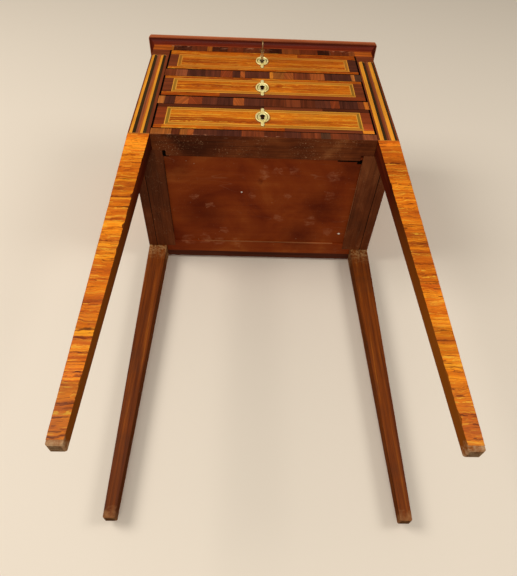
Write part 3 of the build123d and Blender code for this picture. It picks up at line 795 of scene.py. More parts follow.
# A tone factor for each rail's bands: the top rail's 0.62 is painted shade under the overhanging
# moulding, and the middle rails are a little lighter.
RAIL_TONE_AND_SHADE = {"upper_rail": 1.06, "lower_rail": 1.06, "bottom_rail": 1.0, "top_rail": 0.62}
for rail, run in RAIL_RUNS.items():
    shell = start_shell()
    ends = [piece[0] for piece in run[1:]] + [rail_end]
    for (x, wood_name, *lean), x_next in zip(run, ends):
        tone = [RAIL_TONE_AND_SHADE[rail] * ((1 - evening) * c + evening * mean)
                for c, mean in zip(WOODS[wood_name], WOODS["red brown"])]
        slab(shell, butted(in_mm(x, x_next)), (front - proud, front + hair),
             (lowest(rail).z + hair, highest(rail).z - hair), tone=tone,
             angle=upright + math.radians(sum(lean) + dice.uniform(-3, 3)), strength=0.75)
    skin = rail_banding.get(rail, banding["y"])
    finish_piece(f"{rail}_banding", shell, [skin], "case")
    print(rail, "has", len(run), "pieces of banding")

# %% [markdown]
# ### Corner stiles
#
# The stiles pretend to be fluted. Each flute is a strip half yellow and half dark, so
# that it looks lit from one side, and it ends in a small arch with a pale rim. A disc
# makes the arch: its lower half is pulled straight down to the shoulder of the leg.

# %% Flutes
flute_points = 28
flute_rim = 0.45 * MM
flute_proud = 0.12 * MM


def flute(shell, left, split, right, z_low, z_top, y):
    """An arched strip in two tones with a pale rim."""
    old = set(shell.faces)
    radius = (right - left) / 2
    centre = Vector(((left + right) / 2, y, z_top - radius))
    strip = arch(shell, centre, radius, flute_points, z_low)
    bmesh.ops.inset_region(shell, faces=strip, thickness=flute_rim, use_even_offset=True,
                           use_boundary=True)
    cut(shell, new_faces(shell, old), (split, 0, 0), (1, 0, 0))
    strip = new_faces(shell, old)
    for face in strip:
        at = face.calc_center_median()
        off_centre = math.hypot(at.x - centre.x, at.z - centre.z)
        if at.z > centre.z and off_centre > radius - 0.5 * MM:
            mark(shell, [face], tone=tint(226, 176, 92), angle=upright, strength=0.3)
        elif at.x < split:
            mark(shell, [face], tone=tint(226, 150, 40), angle=upright, seed=2.0 + left * 90,
                 strength=0.55)
        else:
            mark(shell, [face], tone=tint(58, 42, 22), angle=upright, seed=9.0 + left * 90,
                 strength=0.8)
    thicken(shell, strip, (0, -flute_proud, 0))


print("flute rim", round(flute_rim / MM, 2), "mm")

# %% [markdown]
# Between and beside the flutes run narrow strips of other woods. A level block caps the
# stile, a thin bead lies under the block, and a yellow line ends the stile at the leg.

# %% Stile veneers
flute_top = 693 * MM
stile_block = 713 * MM
STILE_RUNS = {
    "left": [(-195, "red brown"), (-193, None), (-184, "pink brown"), (-180.5, "orange red"),
             (-177.6, None), (-169.2, "red brown"), (-164.8, None)],
    "right": [(164.8, "red brown"), (167.2, None), (177.5, "red brown"), (180.5, "pink brown"),
              (183.4, None), (192.3, "red brown"), (195, None)],
}
FLUTES = {"left": [(-193, -188.9, -184), (-177.6, -173.8, -169.2)],
          "right": [(167.2, 173.1, 177.5), (183.4, 189.3, 192.3)]}
for side, sign in both_sides.items():
    shell = start_shell()
    outer, inner = sign * half_width, sign * stile_inner_x
    run = STILE_RUNS[side]
    for (x, wood_name), (x_next, _) in zip(run, run[1:]):
        slab(shell, in_mm(x, x_next), (front - proud, front + hair), (case_bottom_z, stile_block),
             ease=0, tone=WOODS[wood_name or "red brown"], angle=upright, strength=0.7)
    slab(shell, sorted((outer, inner)), (front - proud, front + hair),
         (stile_block + joint_gap, case_top_z - hair), tone=tint(176, 88, 24))
    clear_of_drawer = sorted((outer, inner + sign * 0.6 * MM))
    slab(shell, clear_of_drawer, (front - proud - hair, front), (flute_top + 1.0 * MM, stile_block),
         ease=0.05 * MM, tone=WOODS["red brown"])
    for flute_left, split, flute_right in FLUTES[side]:
        flute(shell, *in_mm(flute_left, split, flute_right), case_bottom_z + 0.6 * MM, flute_top,
              front - proud)
    slab(shell, clear_of_drawer, (front - proud - 0.15 * MM, front),
         (case_bottom_z - 0.5 * MM, case_bottom_z + 0.6 * MM), ease=0, tone=tint(196, 128, 52),
         strength=0.4)
    finish_piece(f"stile_veneer_{side}", shell, [banding["y"]], "case")
    print("stile", side, "has", len(FLUTES[side]), "flutes")

# %% [markdown]
# ### Inlaid panels
#
# Drawer fronts, sides and top share one plan: a field, a three-part string round it,
# and bands outside the string. A single face starts as the outline of the string, and
# each inset steps inwards by the width of one line. What is left in the middle is the
# field.

# %% Panels with stringing
STRING_WIDTHS = in_mm(1.5, 4.0, 1.5)
string_yellow = tint(224, 160, 56)
string_green = {"long": tint(184, 116, 30), "end": tint(152, 114, 36)}
string_faded = tint(190, 104, 28)


def spread(values):
    return max(values) - min(values)


def strung_field(shell, x, z, y, field_marks, hole=None, faded=0.0):
    """A rectangle of nested lines round a field, drawn in the plane y and then thickened."""
    old = set(shell.faces)
    made = bmesh.ops.create_grid(shell, x_segments=1, y_segments=1, size=0.5)["verts"]
    bmesh.ops.rotate(shell, verts=made, matrix=Matrix.Rotation(quarter_turn, 3, "X"))
    bmesh.ops.scale(shell, verts=made, vec=(x[1] - x[0], 1, z[1] - z[0]))
    bmesh.ops.translate(shell, verts=made, vec=(sum(x) / 2, y, sum(z) / 2))
    field = new_faces(shell, old)
    for line, width in enumerate(STRING_WIDTHS):
        ring = bmesh.ops.inset_region(shell, faces=field, thickness=width, use_even_offset=True,
                                      use_boundary=True)["faces"]
        for face in ring:
            tall = spread([v.co.z for v in face.verts]) > spread([v.co.x for v in face.verts])
            tone = string_green["end" if tall else "long"] if line == 1 else string_yellow
            tone = [(1 - faded) * c + faded * ground for c, ground in zip(tone, string_faded)]
            mark(shell, [face], tone=tone, angle=upright if tall else across, strength=0.4, slot=1)
    mark(shell, field, **field_marks)
    if hole:
        (x_low, x_high), (z_low, z_high) = hole
        for edge in hole[0]:
            cut(shell, new_faces(shell, old), (edge, 0, 0), (1, 0, 0))
        for edge in hole[1]:
            cut(shell, new_faces(shell, old), (0, 0, edge), (0, 0, 1))
        middles = [(face, face.calc_center_median()) for face in new_faces(shell, old)]
        gone = [face for face, at in middles if x_low < at.x < x_high and z_low < at.z < z_high]
        bmesh.ops.delete(shell, geom=gone, context="FACES")
    thicken(shell, new_faces(shell, old), (0, -proud, 0))


print("stringing is", round(sum(STRING_WIDTHS) / MM, 1), "mm wide")

# %% [markdown]
# ### Drawer fronts
#
# The field is tulipwood with its grain level. The end bands and the long bands come
# from darker leaves, and no two drawers have quite the same pieces. The field has an
# opening for the lock, which the keyhole plate will cover, and the veneer stops short
# of the drawer's lower edge, where the black-painted core shows as a line of painted
# shade under the drawer.

# %% Drawer plans
DRAWERS = {
    "top": {"string": (654.0, 697.5), "gap": 2.0, "faded": 0.45, "ends": ("red brown", "purple"),
            "below": [(-163, "tan"), (20, "orange brown")],
            "above": [(-163, "orange"), (60, "orange brown")]},
    "middle": {"string": (571.0, 613.5), "gap": 2.6, "faded": 0.15,
               "ends": ("red brown", "red brown"),
               "below": [(-163, "orange brown"), (-70, "red brown"), (40, "red")],
               "above": [(-163, "orange brown"), (-20, "orange"), (90, "orange brown")]},
    "bottom": {"string": (476.5, 524.5), "gap": 1.3, "faded": 0.0, "ends": ("red", "red"),
               "below": [(-163, "orange red"), (-150, "orange"), (-60, "orange red"),
                         (30, "red brown"), (145, "bright orange")],
               "above": [(-163, "dark brown"), (0, "red brown"), (90, "dark brown")]},
}
LEAF_TONES = {"orange": (0.88, 0.78, 0.76), "tan": (0.82, 0.72, 0.74),
              "orange brown": (0.68, 0.52, 0.54), "orange red": (0.76, 0.56, 0.50)}
FIELD_TONES = {"top": (0.90, 0.86, 0.95)}
string_half = 147 * MM
end_pieces = 3
drawer_left = -163
key_below_top = 28 * MM


def end_band(shell, x, y, z, wood_name, pale_first):
    """Three pieces of one wood, one above another, each a little lighter or darker."""
    step = (z[1] - z[0]) / end_pieces
    for n in range(end_pieces):
        shade = dice.uniform(0.82, 1.18) * (1.6 if pale_first and n == 0 else 1.0)
        slab(shell, butted(x), y, butted((z[0] + n * step, z[0] + (n + 1) * step)), ease=0.06 * MM,
             tone=[c * shade for c in WOODS[wood_name]], slot=1)


def long_band(shell, run, x_limits, y, z):
    """A run of leaves along the drawer: tulipwood where it has a leaf tone, else plain wood."""
    for (x, wood_name), x_next in zip(run, [piece[0] for piece in run[1:]] + [None]):
        limits = (x_limits[0] if x == drawer_left else x * MM,
                  x_limits[1] if x_next is None else x_next * MM)
        leaf = wood_name in LEAF_TONES
        slab(shell, butted(limits), y, (z[0] + joint_gap, z[1] - joint_gap), ease=0.06 * MM,
             tone=LEAF_TONES[wood_name] if leaf else WOODS[wood_name],
             strength=0.6 if leaf else 0.8, slot=0 if leaf else 1)


print("drawer plans:", list(DRAWERS))

# %% Drawer veneers
for d, plan in DRAWERS.items():
    low, high = lowest(f"{d}_drawer_front"), highest(f"{d}_drawer_front")
    x_low, x_high = low.x + 1.5 * MM, high.x - 1.4 * MM
    key_z = high.z - key_below_top
    lock_x = (lowest(f"{d}_escutcheon").x + highest(f"{d}_escutcheon").x) / 2
    lock_hole = ((lock_x - 4.4 * MM, lock_x + 4.4 * MM), (key_z - 10.5 * MM, key_z + 4.4 * MM))
    z_string = in_mm(*plan["string"])
    y = (front - proud, front)
    shell = start_shell()
    field = {"tone": FIELD_TONES.get(d, (1.0, 1.0, 1.0)), "strength": 0.42, "slot": 0,
             "angle": math.radians(dice.uniform(-1.5, 1.5))}
    strung_field(shell, (-string_half, string_half), z_string, front, field, lock_hole,
                 plan["faded"])
    left_wood, right_wood = plan["ends"]
    end_band(shell, (x_low, -string_half), y, z_string, left_wood, False)
    end_band(shell, (string_half, x_high), y, z_string, right_wood, d == "bottom")
    # The strip left between the drawer's lower edge and this band shows the black-painted core:
    # painted shade under the drawer.
    long_band(shell, plan["below"], (x_low, x_high), y, (low.z + plan["gap"] * MM, z_string[0]))
    long_band(shell, plan["above"], (x_low, x_high), y, (z_string[1], high.z - 0.3 * MM))
    finish_piece(f"{d}_drawer_veneer", shell, [tulip["y"], banding["y"]], f"{d}_drawer")
    print(d, "drawer veneered, key at", round(key_z / MM, 1), "mm")

# %% [markdown]
# ### Front legs
#
# The show faces of the front legs wear cross-grained tulipwood, laid in short leaves
# one under another. The sheet starts as a fine grid, so that its edge can be nibbled:
# where veneer meets a hard corner it chips, and the wood below shows through. A taper
# is a transform that depends on height, so one small loop pulls the grid to shape.

# %% Leg sheets
foot_size = 15.0 * MM
foot_clear = 5.0 * MM
leg_top = case_bottom_z - 0.6 * MM
leg_size = {"y": half_width - stile_inner_x, "x": highest("front_leg_left").y - front}
leg_x = half_width - leg_size["y"] / 2
leg_y = front + leg_size["x"] / 2
sheet_rows = 220


def leg_half(facing, z):
    """Half the width of the face that faces this way, between the foot and the shoulder."""
    return (foot_size + (leg_size[facing] - foot_size) * z / case_bottom_z) / 2


def nibble(z, side, chips):
    """How far the edge has chipped back at a height: ragged all along, deeper at each chip."""
    depth = dice.random() ** 6 * 0.5 * MM
    for height, reach, bite, edge in chips:
        if edge == side:
            shape = 1 - (abs(z - height * MM) / (reach * MM)) ** 2
            depth += max(0.0, shape) * bite * MM * dice.uniform(0.6, 1.1)
    return depth


def leg_sheet(shell, sign, facing, leaves, chips):
    """A tapered sheet on the leg's front ('y') or outer ('x') face, nibbled at its edges."""
    other = "x" if facing == "y" else "y"
    made = bmesh.ops.create_grid(shell, x_segments=6, y_segments=sheet_rows, size=0.5)["verts"]
    for vert in made:
        u, z = vert.co.x * 2, foot_clear + (leg_top - foot_clear) * (vert.co.y + 0.5)
        half = leg_half(facing, z) - 0.15 * MM
        if abs(u) > 0.99:
            half -= nibble(z, 1 if u > 0 else -1, chips)
        if facing == "y":
            vert.co = (sign * leg_x + u * half, leg_y - leg_half(other, z), z)
        else:
            vert.co = (sign * (leg_x + leg_half(other, z)), leg_y + u * half, z)
    sheet = list(shell.faces)
    for face in sheet:
        z = face.calc_center_median().z / MM
        _, tone, seed = [leaf for leaf in leaves if leaf[0] < z][-1]
        mark(shell, [face], tone=tone, seed=seed + (0 if facing == "y" else 7), strength=0.85)
    thicken(shell, sheet, (0, -proud, 0) if facing == "y" else (sign * proud, 0, 0))


print("a leg is", round(leg_size["y"] / MM, 1), "mm wide at the shoulder")

# %% [markdown]
# The leaves are darker near the foot, where hands and shoes have been, and redder just
# under the shoulder. Each chip is given by its height, its half length and its depth in
# millimetres, and by its edge: 1 is the right-hand one.

# %% Leg veneers
dark_below, red_above = 30, 395


def leaf_run(start):
    """Leaves of veneer down a leg: where each begins, its tone, and its part of the figure."""
    leaves, z = [], 0.0
    while z < 452:
        shade, warm = dice.uniform(0.88, 1.12), dice.uniform(0.92, 1.10)
        shade *= 0.80 if z < dark_below else 1.0
        warm *= 0.86 if z > red_above else 1.0
        leaves.append((z, (shade, shade * warm, shade * warm), start + dice.uniform(0, 30)))
        z += dice.uniform(26, 62)
    return leaves


LEG_CHIPS = {
    "left": [(318, 5, 2.2, 1), (290, 10, 0.9, 1), (264, 5, 2.4, 1), (226, 6, 0.7, 1),
             (390, 5, 0.6, 1), (150, 8, 0.6, -1), (60, 6, 0.8, 1)],
    "right": [(70, 16, 0.7, -1), (30, 8, 1.4, -1), (352, 5, 0.7, -1), (190, 6, 0.6, -1),
              (120, 5, 0.6, 1)],
}
OUTER_CHIPS = [(120, 9, 0.9, 1), (300, 8, 0.8, -1)]
for side, sign in both_sides.items():
    for name, facing, start, chips in (("leg_veneer", "y", 2.0, LEG_CHIPS[side]),
                                       ("leg_outer_veneer", "x", 5.0, OUTER_CHIPS)):
        shell = start_shell()
        leg_sheet(shell, sign, facing, leaf_run(start), chips)
        finish_piece(f"{name}_{side}", shell, [leg_tulip[facing]], "case")
print("legs veneered, chips:", {side: len(chips) for side, chips in LEG_CHIPS.items()})

# %% [markdown]
# ### Sides and top
#
# The sides and the top repeat the plan of a drawer front at a larger size. They are
# drawn in the front plane, like a drawer, and then turned into place, which keeps one
# recipe for all of them. Their fields are quartered: the grain of the four leaves runs
# out from the middle like a lozenge.

# %% Large panels
BORDER_WOODS = ["red brown", "purple", "pink brown", "dark brown", "red", "purple", "orange red"]
shortest_piece = 12 * MM


def border_run(start, end):
    """Cuts the length of a border into pieces of uneven length."""
    while start < end - tiny:
        reach = min(end, start + dice.uniform(24, 52) * MM)
        if end - reach < shortest_piece:
            reach = end
        yield start, reach
        start = reach


def quarter(shell, grain):
    """Cuts the field into four leaves whose grain leans to and fro."""
    for normal in ((1, 0, 0), (0, 0, 1)):
        cut(shell, [face for face in shell.faces if face.material_index == 0], (0, 0, 0), normal)
    for face in [face for face in shell.faces if face.material_index == 0]:
        at = face.calc_center_median()
        rising = at.x * at.z < 0
        mark(shell, [face], tone=[1.0 if rising else 0.93] * 3, strength=0.5,
             angle=grain + math.radians(32 if rising else -32),
             seed=11.0 + (at.x > 0) * 3 + (at.z > 0) * 5)


def panel(name, width, height, band, settle, facing, grain):
    """A strung, quartered field in a cross-grained border, drawn upright and then settled."""
    shell = start_shell()
    out_w, out_h = width / 2, height / 2
    in_w, in_h = out_w - band, out_h - band
    strung_field(shell, (-in_w, in_w), (-in_h, in_h), 0.0, {"angle": grain, "strength": 0.5})
    quarter(shell, grain)
    for sign in (-1, 1):
        for limits in border_run(-out_w, out_w):
            slab(shell, butted(limits), (-proud, 0.0), sorted((sign * out_h, sign * in_h)),
                 ease=0.06 * MM, tone=WOODS[dice.choice(BORDER_WOODS)], angle=upright,
                 strength=0.7, slot=1)
        for limits in border_run(-in_h, in_h):
            slab(shell, sorted((sign * out_w, sign * in_w)), (-proud, 0.0), butted(limits),
                 ease=0.06 * MM, tone=WOODS[dice.choice(BORDER_WOODS)], strength=0.7, slot=1)
    bmesh.ops.transform(shell, matrix=settle, verts=shell.verts)
    finish_piece(name, shell, [tulip[facing], banding[facing]], "case")


side_width = back - front - 0.4 * MM
side_height = case_top_z - case_bottom_z - 0.4 * MM
for side, sign in both_sides.items():
    middle = (sign * half_width, (front + back) / 2, (case_bottom_z + case_top_z) / 2)
    settle = Matrix.Translation(middle) @ Matrix.Rotation(sign * quarter_turn, 4, "Z")
    panel(f"side_veneer_{side}", side_width, side_height, 20 * MM, settle, "x", upright)
print("sides veneered from", round(front, 4), "to", round(back, 4))

# %% [markdown]
# ## Brass
#
# Old brass is bright where fingers rub it and brown in every hollow. The hollows are
# found with a noise, and again by depth on the plate itself, because a raised bead
# keeps its polish while the groove beside it fills with wax.


# %% Metals
def old_metal(name, bright, dull, brown, rough, grain=60.0, groove=None, metal=1.0):
    finish = Finish(name)
    place = finish.place()
    cloud = finish.noise(place, 5.0, 0.65, 0.4, scale=grain)
    pits = finish.level(finish.noise(place, 4.0, 0.6, scale=grain * 14), 0.62, 0.72)
    colour = finish.ramp(cloud, [(0.27, brown), (0.40, dull), (0.55, bright)])
    if groove:
        colour = finish.cover(colour, finish.level(finish.along("Y"), *groove), 0.9, brown)
    colour = finish.cover(colour, pits, 0.35, brown)
    smooth, worn = rough
    height = finish.maths("SUBTRACT", cloud, pits)
    return finish.close(colour, finish.level(cloud, 0.3, 0.7, worn, smooth),
                        finish.relief(height, 0.25, 0.15 * MM), metallic=metal)


plate_brass = old_metal("plate_brass", tint(255, 242, 172), tint(244, 224, 138), tint(84, 64, 20),
                        (0.34, 0.48), groove=(front - 1.24 * MM, front - 0.98 * MM), metal=0.35)
lock_brass = old_metal("lock_brass", tint(214, 178, 96), tint(176, 138, 66), tint(96, 70, 34),
                       (0.32, 0.55))
key_steel = old_metal("key_steel", tint(196, 160, 112), tint(126, 96, 52), tint(64, 44, 20),
                      (0.30, 0.50), metal=0.6)
screw_steel = old_metal("screw_steel", tint(150, 146, 138), tint(110, 104, 96), tint(60, 48, 38),
                        (0.35, 0.6), grain=200.0)
print("metals:", [m.name for m in (plate_brass, lock_brass, key_steel, screw_steel)])

# %% [markdown]
# ### Keyhole plates
#
# Each plate is cast: an oval with a rim of beads, a groove, and a dished middle pierced
# by the keyhole, with a pinned lug above and below. The oval is built like a turned
# bowl. One loop after another goes down, from the keyhole outwards, and each pair is
# bridged with faces. The keyhole loop is a circle whose lower part is pulled down into
# the slot.

# %% Loops of a plate
loop_points = 72
hole_radius, slot_half, slot_length = in_mm(3.8, 2.5, 9.7)


def ring_loop(shell, centre, radii, y):
    turn = Matrix.Translation((centre[0], y, centre[1])) @ Matrix.Rotation(quarter_turn, 4, "X")
    turn = turn @ Matrix.Diagonal((radii[0], radii[1], 1, 1))
    return bmesh.ops.create_circle(shell, cap_ends=False, radius=1.0, segments=loop_points,
                                   matrix=turn)["verts"]


def keyhole_loop(shell, centre, y):
    made = ring_loop(shell, centre, (hole_radius, hole_radius), y)
    for vert in made:
        dx, dz = vert.co.x - centre[0], vert.co.z - centre[1]
        if dz < 0 and abs(dx) < slot_half:
            depth = math.sqrt(max(0.0, 1 - (dx / slot_half) ** 2))
            vert.co.z = centre[1] - slot_length + slot_half * (1 - depth) * 0.6
    return made


def bridge(shell, *loops):
    edges = {edge for loop in loops for vert in loop for edge in vert.link_edges
             if edge.other_vert(vert) in set(loop)}
    bmesh.ops.bridge_loops(shell, edges=list(edges))


print("keyhole", round(2 * hole_radius / MM, 1), "mm across")

# %% [markdown]
# The oval's profile is a list of loops: half width, half height and how far the metal
# stands out there, in millimetres. The beads sit on its rim. A lug is an arch that is
# thickened and rounded over, with the head of a pin on it.

# %% Keyhole plates
HOLE_DEPTHS = (0.0, 0.9, 1.15)
PLATE_PROFILE = [
    (5.6, 10.8, 1.30), (6.3, 11.2, 1.55), (6.7, 11.4, 1.65), (7.0, 11.6, 1.45), (7.2, 11.75, 0.95),
    (8.3, 12.55, 0.90), (8.5, 12.75, 1.35), (8.9, 13.0, 2.00), (9.7, 13.6, 2.35),
    (10.4, 14.1, 2.00), (10.8, 14.4, 1.20), (11.0, 14.5, 0.5), (11.0, 14.5, 0.0)]
BEAD_RING = in_mm(9.7, 13.6, 2.2)
bead_count, bead_radius = 26, 0.85 * MM
key_above_centre = 3.5 * MM
lug_reach = 21.6 * MM
LUGS = [(2.6, 8.2, 1.4), (1.9, 6.6, 1.9)]


def squashed_ball(shell, at, radius, detail, squash):
    made = bmesh.ops.create_icosphere(shell, subdivisions=detail, radius=radius,
                                      matrix=Matrix.Translation(at))["verts"]
    bmesh.ops.scale(shell, verts=made, vec=squash, space=Matrix.Translation(-at))
    return made


def keyhole_plate(name, body, node):
    low, high = lowest(node), highest(node)
    centre = ((low.x + high.x) / 2, (low.z + high.z) / 2)
    key = (centre[0], centre[1] + key_above_centre)
    shell = bmesh.new()
    loops = [keyhole_loop(shell, key, front - depth * MM) for depth in HOLE_DEPTHS]
    loops += [ring_loop(shell, centre, in_mm(wide, tall), front - depth * MM)
              for wide, tall, depth in PLATE_PROFILE]
    for first, second in zip(loops, loops[1:] + loops[:1]):
        bridge(shell, first, second)
    for n in range(bead_count):
        angle = 2 * math.pi * n / bead_count
        at = Vector((centre[0] + BEAD_RING[0] * math.cos(angle), front - BEAD_RING[2],
                     centre[1] + BEAD_RING[1] * math.sin(angle)))
        squashed_ball(shell, at, bead_radius, 2, (1.0, 0.6, 1.0))
    for sign in (-1, 1):
        tip = centre[1] + sign * lug_reach
        for radius, reach, thick in LUGS:
            old = set(shell.faces)
            flat = arch(shell, (centre[0], front, tip), radius * MM, 24, tip - sign * reach * MM)
            thicken(shell, flat, (0, -thick * MM, 0))
            face_y = front - thick * MM
            rim = [edge for face in new_faces(shell, old) for edge in face.edges
                   if all(abs(vert.co.y - face_y) < 1e-6 for vert in edge.verts)]
            round_over(shell, rim, 0.4 * MM, 2)
    made = finish_piece(name, shell, [plate_brass], body, smooth=True)
    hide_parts(node)
    return made


for d in drawers:
    made = keyhole_plate(f"{d}_keyhole_plate", f"{d}_drawer", f"{d}_escutcheon")
    print(made.name, len(made.data.polygons), "faces")
    dress(plate_brass, f"{d}_escutcheon_pins")
    dress(lock_brass, f"{d}_lock_case")
    dress(screw_steel, f"{d}_lock_bolt", f"{d}_lock_screws")
dress(screw_steel, "top_screws")

# %% [markdown]
# ### Key
#
# The key is turned and filed from one bar: a ring to hold, two collars, a hollow shank
# and a bit. A section swept round an axis makes each turned part. For the bow it is a
# small oval carried round the bow's centre; for the shank it is the outline of half
# the shank, carried round the key's own axis.

# %% Key
key_low, key_high = lowest("key"), highest("key")
key_x = (key_low.x + key_high.x) / 2
key_axis_z = key_high.z - 8.5 * MM
bow_y = key_low.y + 8.5 * MM
bow_radius = 6.7 * MM
full_turn = math.radians(360)


def sweep(shell, verts, edges, centre, axis, steps):
    """Carries a section once round an axis and closes the seam."""
    bmesh.ops.spin(shell, geom=verts + edges, cent=centre, axis=axis, angle=full_turn,
                   steps=steps, use_merge=True)
    bmesh.ops.remove_doubles(shell, verts=shell.verts, dist=1e-6)


shell = bmesh.new()
oval = Matrix.Translation((key_x, bow_y - bow_radius, key_axis_z))
oval = oval @ Matrix.Diagonal((1.15 * MM, 1.75 * MM, MM, 1))
section = bmesh.ops.create_circle(shell, cap_ends=False, radius=1.0, segments=16,
                                  matrix=oval)["verts"]
sweep(shell, section, list({edge for vert in section for edge in vert.link_edges}),
      (key_x, bow_y, key_axis_z), (1, 0, 0), 48)

shank_start, shank_end = bow_y + 6.6 * MM, key_high.y
COLLARS = [(0.0, 0.0), (2.4, 0.0), (3.5, 0.5), (3.6, 1.3), (2.9, 2.0), (2.45, 2.4), (2.45, 3.0),
           (3.0, 3.3), (3.05, 4.1), (2.5, 4.5), (2.35, 5.2)]
SHANK_END = [(2.35, -0.3), (2.1, 0.0), (1.05, 0.0), (1.05, -9.0), (0.0, -9.0)]
outline = [(radius, shank_start + y * MM) for radius, y in COLLARS]
outline += [(radius, shank_end + y * MM) for radius, y in SHANK_END]
line = [shell.verts.new((key_x, y, key_axis_z + radius * MM)) for radius, y in outline]
sweep(shell, line, [shell.edges.new(pair) for pair in zip(line, line[1:])],
      (key_x, 0, key_axis_z), (0, 1, 0), 32)

bit = block(shell, (key_x - 1.1 * MM, key_x + 1.1 * MM), (shank_end - 4.2 * MM, shank_end),
            (key_low.z, key_axis_z - 1.8 * MM))
round_over(shell, [edge for vert in bit for edge in vert.link_edges], 0.25 * MM, 2)
key_piece = finish_piece("key_turned", shell, [key_steel], "key", smooth=True)
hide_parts("key")
print("key runs from y", round(key_low.y, 4), "to", round(key_high.y, 4))

# %% [markdown]
# ### Moulded edge
#
# The top's edge is a solid moulding: a small fillet, a hollow, a bead and an upright
# with a rounded arris. The hollow is painted dark as painted shade, the upright is painted
# lighter as painted light, and the arris above is pale, partly as a painted highlight and
# partly from rubbing. The profile is the same all the way round, so height alone can say
# which part is which.

# %% Moulding finish
# Colours up the moulding by height: the dark stops of the hollow are painted shade, the lighter
# upright is painted light, and the pale stop near the top is partly a painted highlight on the
# arris and partly rubbed wear.
MOULDING_PARTS = shades((0.0, 150, 66, 34), (0.055, 150, 66, 34), (0.085, 96, 26, 4),
                        (0.34, 110, 34, 8), (0.41, 84, 24, 6), (0.46, 160, 84, 46),
                        (0.78, 180, 100, 62), (0.90, 218, 142, 98), (1.0, 170, 100, 62))


def moulding_finish(name, grain):
    finish = Finish(name)
    place = grain_place(finish, grain)
    broad = finish.stretched(place, (4.0, 160, 160), 4.0, 0.6, 0.5)
    fine = finish.stretched(place, (18, 1000, 1000), 3.0, 0.6)
    rubs = finish.stretched(place, (22, 60, 60), 6.0, 0.7, 0.8)
    height = finish.along("Z")
    body = finish.ramp(finish.level(height, case_top_z, table_top_z), MOULDING_PARTS)
    body = finish.shade(body, broad, 0.8, [(0.3, (0.62, 0.55, 0.5)), (0.65, (1.25, 1.18, 1.1))])
    body = finish.shade(body, fine, 0.4, [(0.32, (0.6, 0.55, 0.5)), (0.6, (1.1, 1.1, 1.08))])
    arris = finish.level(height, table_top_z - 9 * MM, table_top_z - 3 * MM)
    rubbed = finish.times(finish.level(rubs, 0.52, 0.70), arris)
    body = finish.cover(body, rubbed, 0.45, tint(196, 140, 104))
    return polish(finish, body, fine, finish.level(rubs, 0.68, 0.74), (0.34, 0.55), 0.0, 0.15)


dress(moulding_finish("moulding_level", "x"), "top_moulding_front")
for side in both_sides:
    dress(moulding_finish(f"moulding_{side}", "y"), f"top_moulding_{side}")
print("moulding is", round((table_top_z - case_top_z) / MM, 1), "mm high")

# %% [markdown]
# The field of the top lies between the mouldings. It is the same panel as the sides,
# laid flat.

# %% Top veneer
top_low, top_high = lowest("top_board"), highest("top_board")
top_width, top_depth = top_high.x - top_low.x - 0.3 * MM, top_high.y - top_low.y - 0.3 * MM
top_middle = ((top_low.x + top_high.x) / 2, (top_low.y + top_high.y) / 2, top_high.z)
settle = Matrix.Translation(top_middle) @ Matrix.Rotation(-quarter_turn, 4, "X")
panel("top_veneer", top_width, top_depth, 24 * MM, settle, "z", across)
print("top veneered,", round((top_high.x - top_low.x) / MM, 1), "mm wide between mouldings")

# %% [markdown]
# ## Eased edges
#
# No edge on an old table is sharp. The carcase boards keep their own meshes, so their
# edges are eased by two modifiers: one joins the loose triangles into a solid, and the
# next bevels every edge that turns a real corner. Where two boards meet, the pair of
# bevels makes the fine dark line of a joint.


# %% Ease the boards
def ease(width, *names, segments=2):
    for name in names:
        join = nodes[name].modifiers.new("join", "WELD")
        join.merge_threshold = 0.01 * MM
        round_off = nodes[name].modifiers.new("ease", "BEVEL")
        round_off.width = width
        round_off.segments = segments
        round_off.limit_method = "ANGLE"
        round_off.angle_limit = math.radians(40)
        round_off.use_clamp_overlap = True
        round_off.harden_normals = False


for side in both_sides:
    ease(0.9 * MM, f"front_leg_{side}", f"rear_leg_{side}", segments=3)
    ease(0.5 * MM, f"side_panel_{side}", f"kicker_{side}", *[f"{d}_runner_{side}" for d in drawers])
ease(0.5 * MM, "back_panel", "case_bottom", "rear_rail", "drawer_stops")
ease(0.4 * MM, *rails)
for d in drawers:
    ease(0.4 * MM, *[f"{d}_drawer_{part}" for part in ("front", "back", "bottom", "side_left",
                                                        "side_right")])
    ease(0.15 * MM, f"{d}_lock_case")
ease(0.3 * MM, "top_board")
graph = bpy.context.evaluated_depsgraph_get()
for name in ("front_leg_left", "bottom_rail", "case_bottom", "top_drawer_front"):
    eased = nodes[name].evaluated_get(graph).data
    print(name, len(nodes[name].data.polygons), "->", len(eased.polygons), "faces")

# %% [markdown]
# Two drops of old white paint have dried on the bottom board. Each is a ball pressed
# nearly flat and pushed out of round.

# %% Paint drops
paint = Finish("dried_paint")
crust = paint.noise(paint.place(), 3.0, 0.6, scale=400.0)
paint_colour = paint.ramp(crust, shades((0.3, 226, 208, 180), (0.7, 252, 246, 232)))
paint.close(paint_colour, 0.6, paint.relief(crust, 0.3, 0.2 * MM))
board_under = lowest("case_bottom").z
PAINT_DROPS = [(138, 189, 2.1), (-32, 103, 1.4)]
shell = bmesh.new()
for x, depth, radius in PAINT_DROPS:
    at = Vector((x * MM, front + depth * MM, board_under))
    for vert in squashed_ball(shell, at, radius * MM, 3, (1.0, 0.8, 0.22)):
        vert.co.x += math.sin(vert.co.y * 2600 + x) * 0.15 * MM
finish_piece("paint_drops", shell, [paint.material], "case", smooth=True)
print("paint drops:", len(PAINT_DROPS))

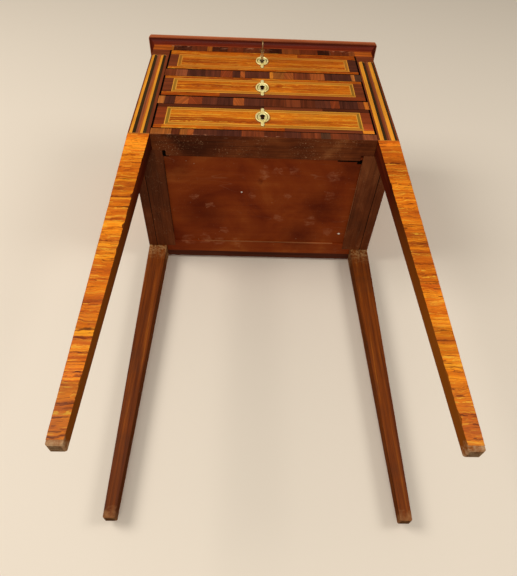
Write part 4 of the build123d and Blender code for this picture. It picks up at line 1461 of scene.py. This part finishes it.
# %% [markdown]
# The bottom board has shrunk away from the front rail at both ends, and the dark of
# those gaps is painted shade on near-black strips. A near-black line along the left
# runner's inner edge is painted shade too, and dark joint lines or pale bare wood mark
# the other joints. All of them are thin strips lying on the undersides.

# %% Gaps and seams
runner_low, runner_high = lowest("bottom_runner_right"), highest("bottom_runner_right")
rail_back, rail_under = highest("bottom_rail").y, lowest("bottom_rail").z
rear_rail = lowest("rear_rail")
gap_painted_shade, seam_dark, edge_painted_shade = tint(8, 3, 2), tint(12, 4, 2), tint(24, 8, 4)
bare_wood, bare_edge = tint(150, 92, 56), tint(160, 98, 58)
# Near-black strips of painted shade, standing in for the dark of the gaps where the board has
# shrunk from the front rail.
GAPS = [(112, 148, 0, 3.8, board_under), (142, 149, 0, 7.5, board_under),
        (-149, -141, 0, 3, board_under), (-149.5, -144.5, -8, 0, rail_under)]
gap_deep, seam_deep = 0.12 * MM, 0.1 * MM
shell = start_shell()
for x_from, x_to, y_from, y_to, under in GAPS:
    slab(shell, in_mm(x_from, x_to), (rail_back + y_from * MM, rail_back + y_to * MM),
         (under - gap_deep, under), ease=0, tone=gap_painted_shade)
runner_z = (runner_low.z - seam_deep, runner_low.z)
for sign in (-1, 1):
    seam, edge = runner_high.x * sign, runner_low.x * sign
    slab(shell, (seam - 0.45 * MM, seam + 0.45 * MM), (rail_back, runner_high.y), runner_z, ease=0,
         tone=seam_dark)
    # Along the inner edges: a near-black line of painted shade on the left, pale bare wood on the
    # right.
    slab(shell, (edge - 0.3 * MM, edge + 0.3 * MM), (rail_back + 8 * MM, runner_high.y - 30 * MM),
         runner_z, ease=0, tone=bare_wood if sign > 0 else edge_painted_shade, strength=1.0)
slab(shell, in_mm(-96, 130), (rear_rail.y - 0.3 * MM, rear_rail.y + 0.1 * MM),
     (min(board_under, rear_rail.z) - 0.08 * MM, board_under), ease=0, tone=bare_edge, strength=1.0)
finish_piece("gap_shade_and_seams", shell, [banding["z"]], "case")
print("bottom board underside at", round(board_under / MM, 1), "mm")
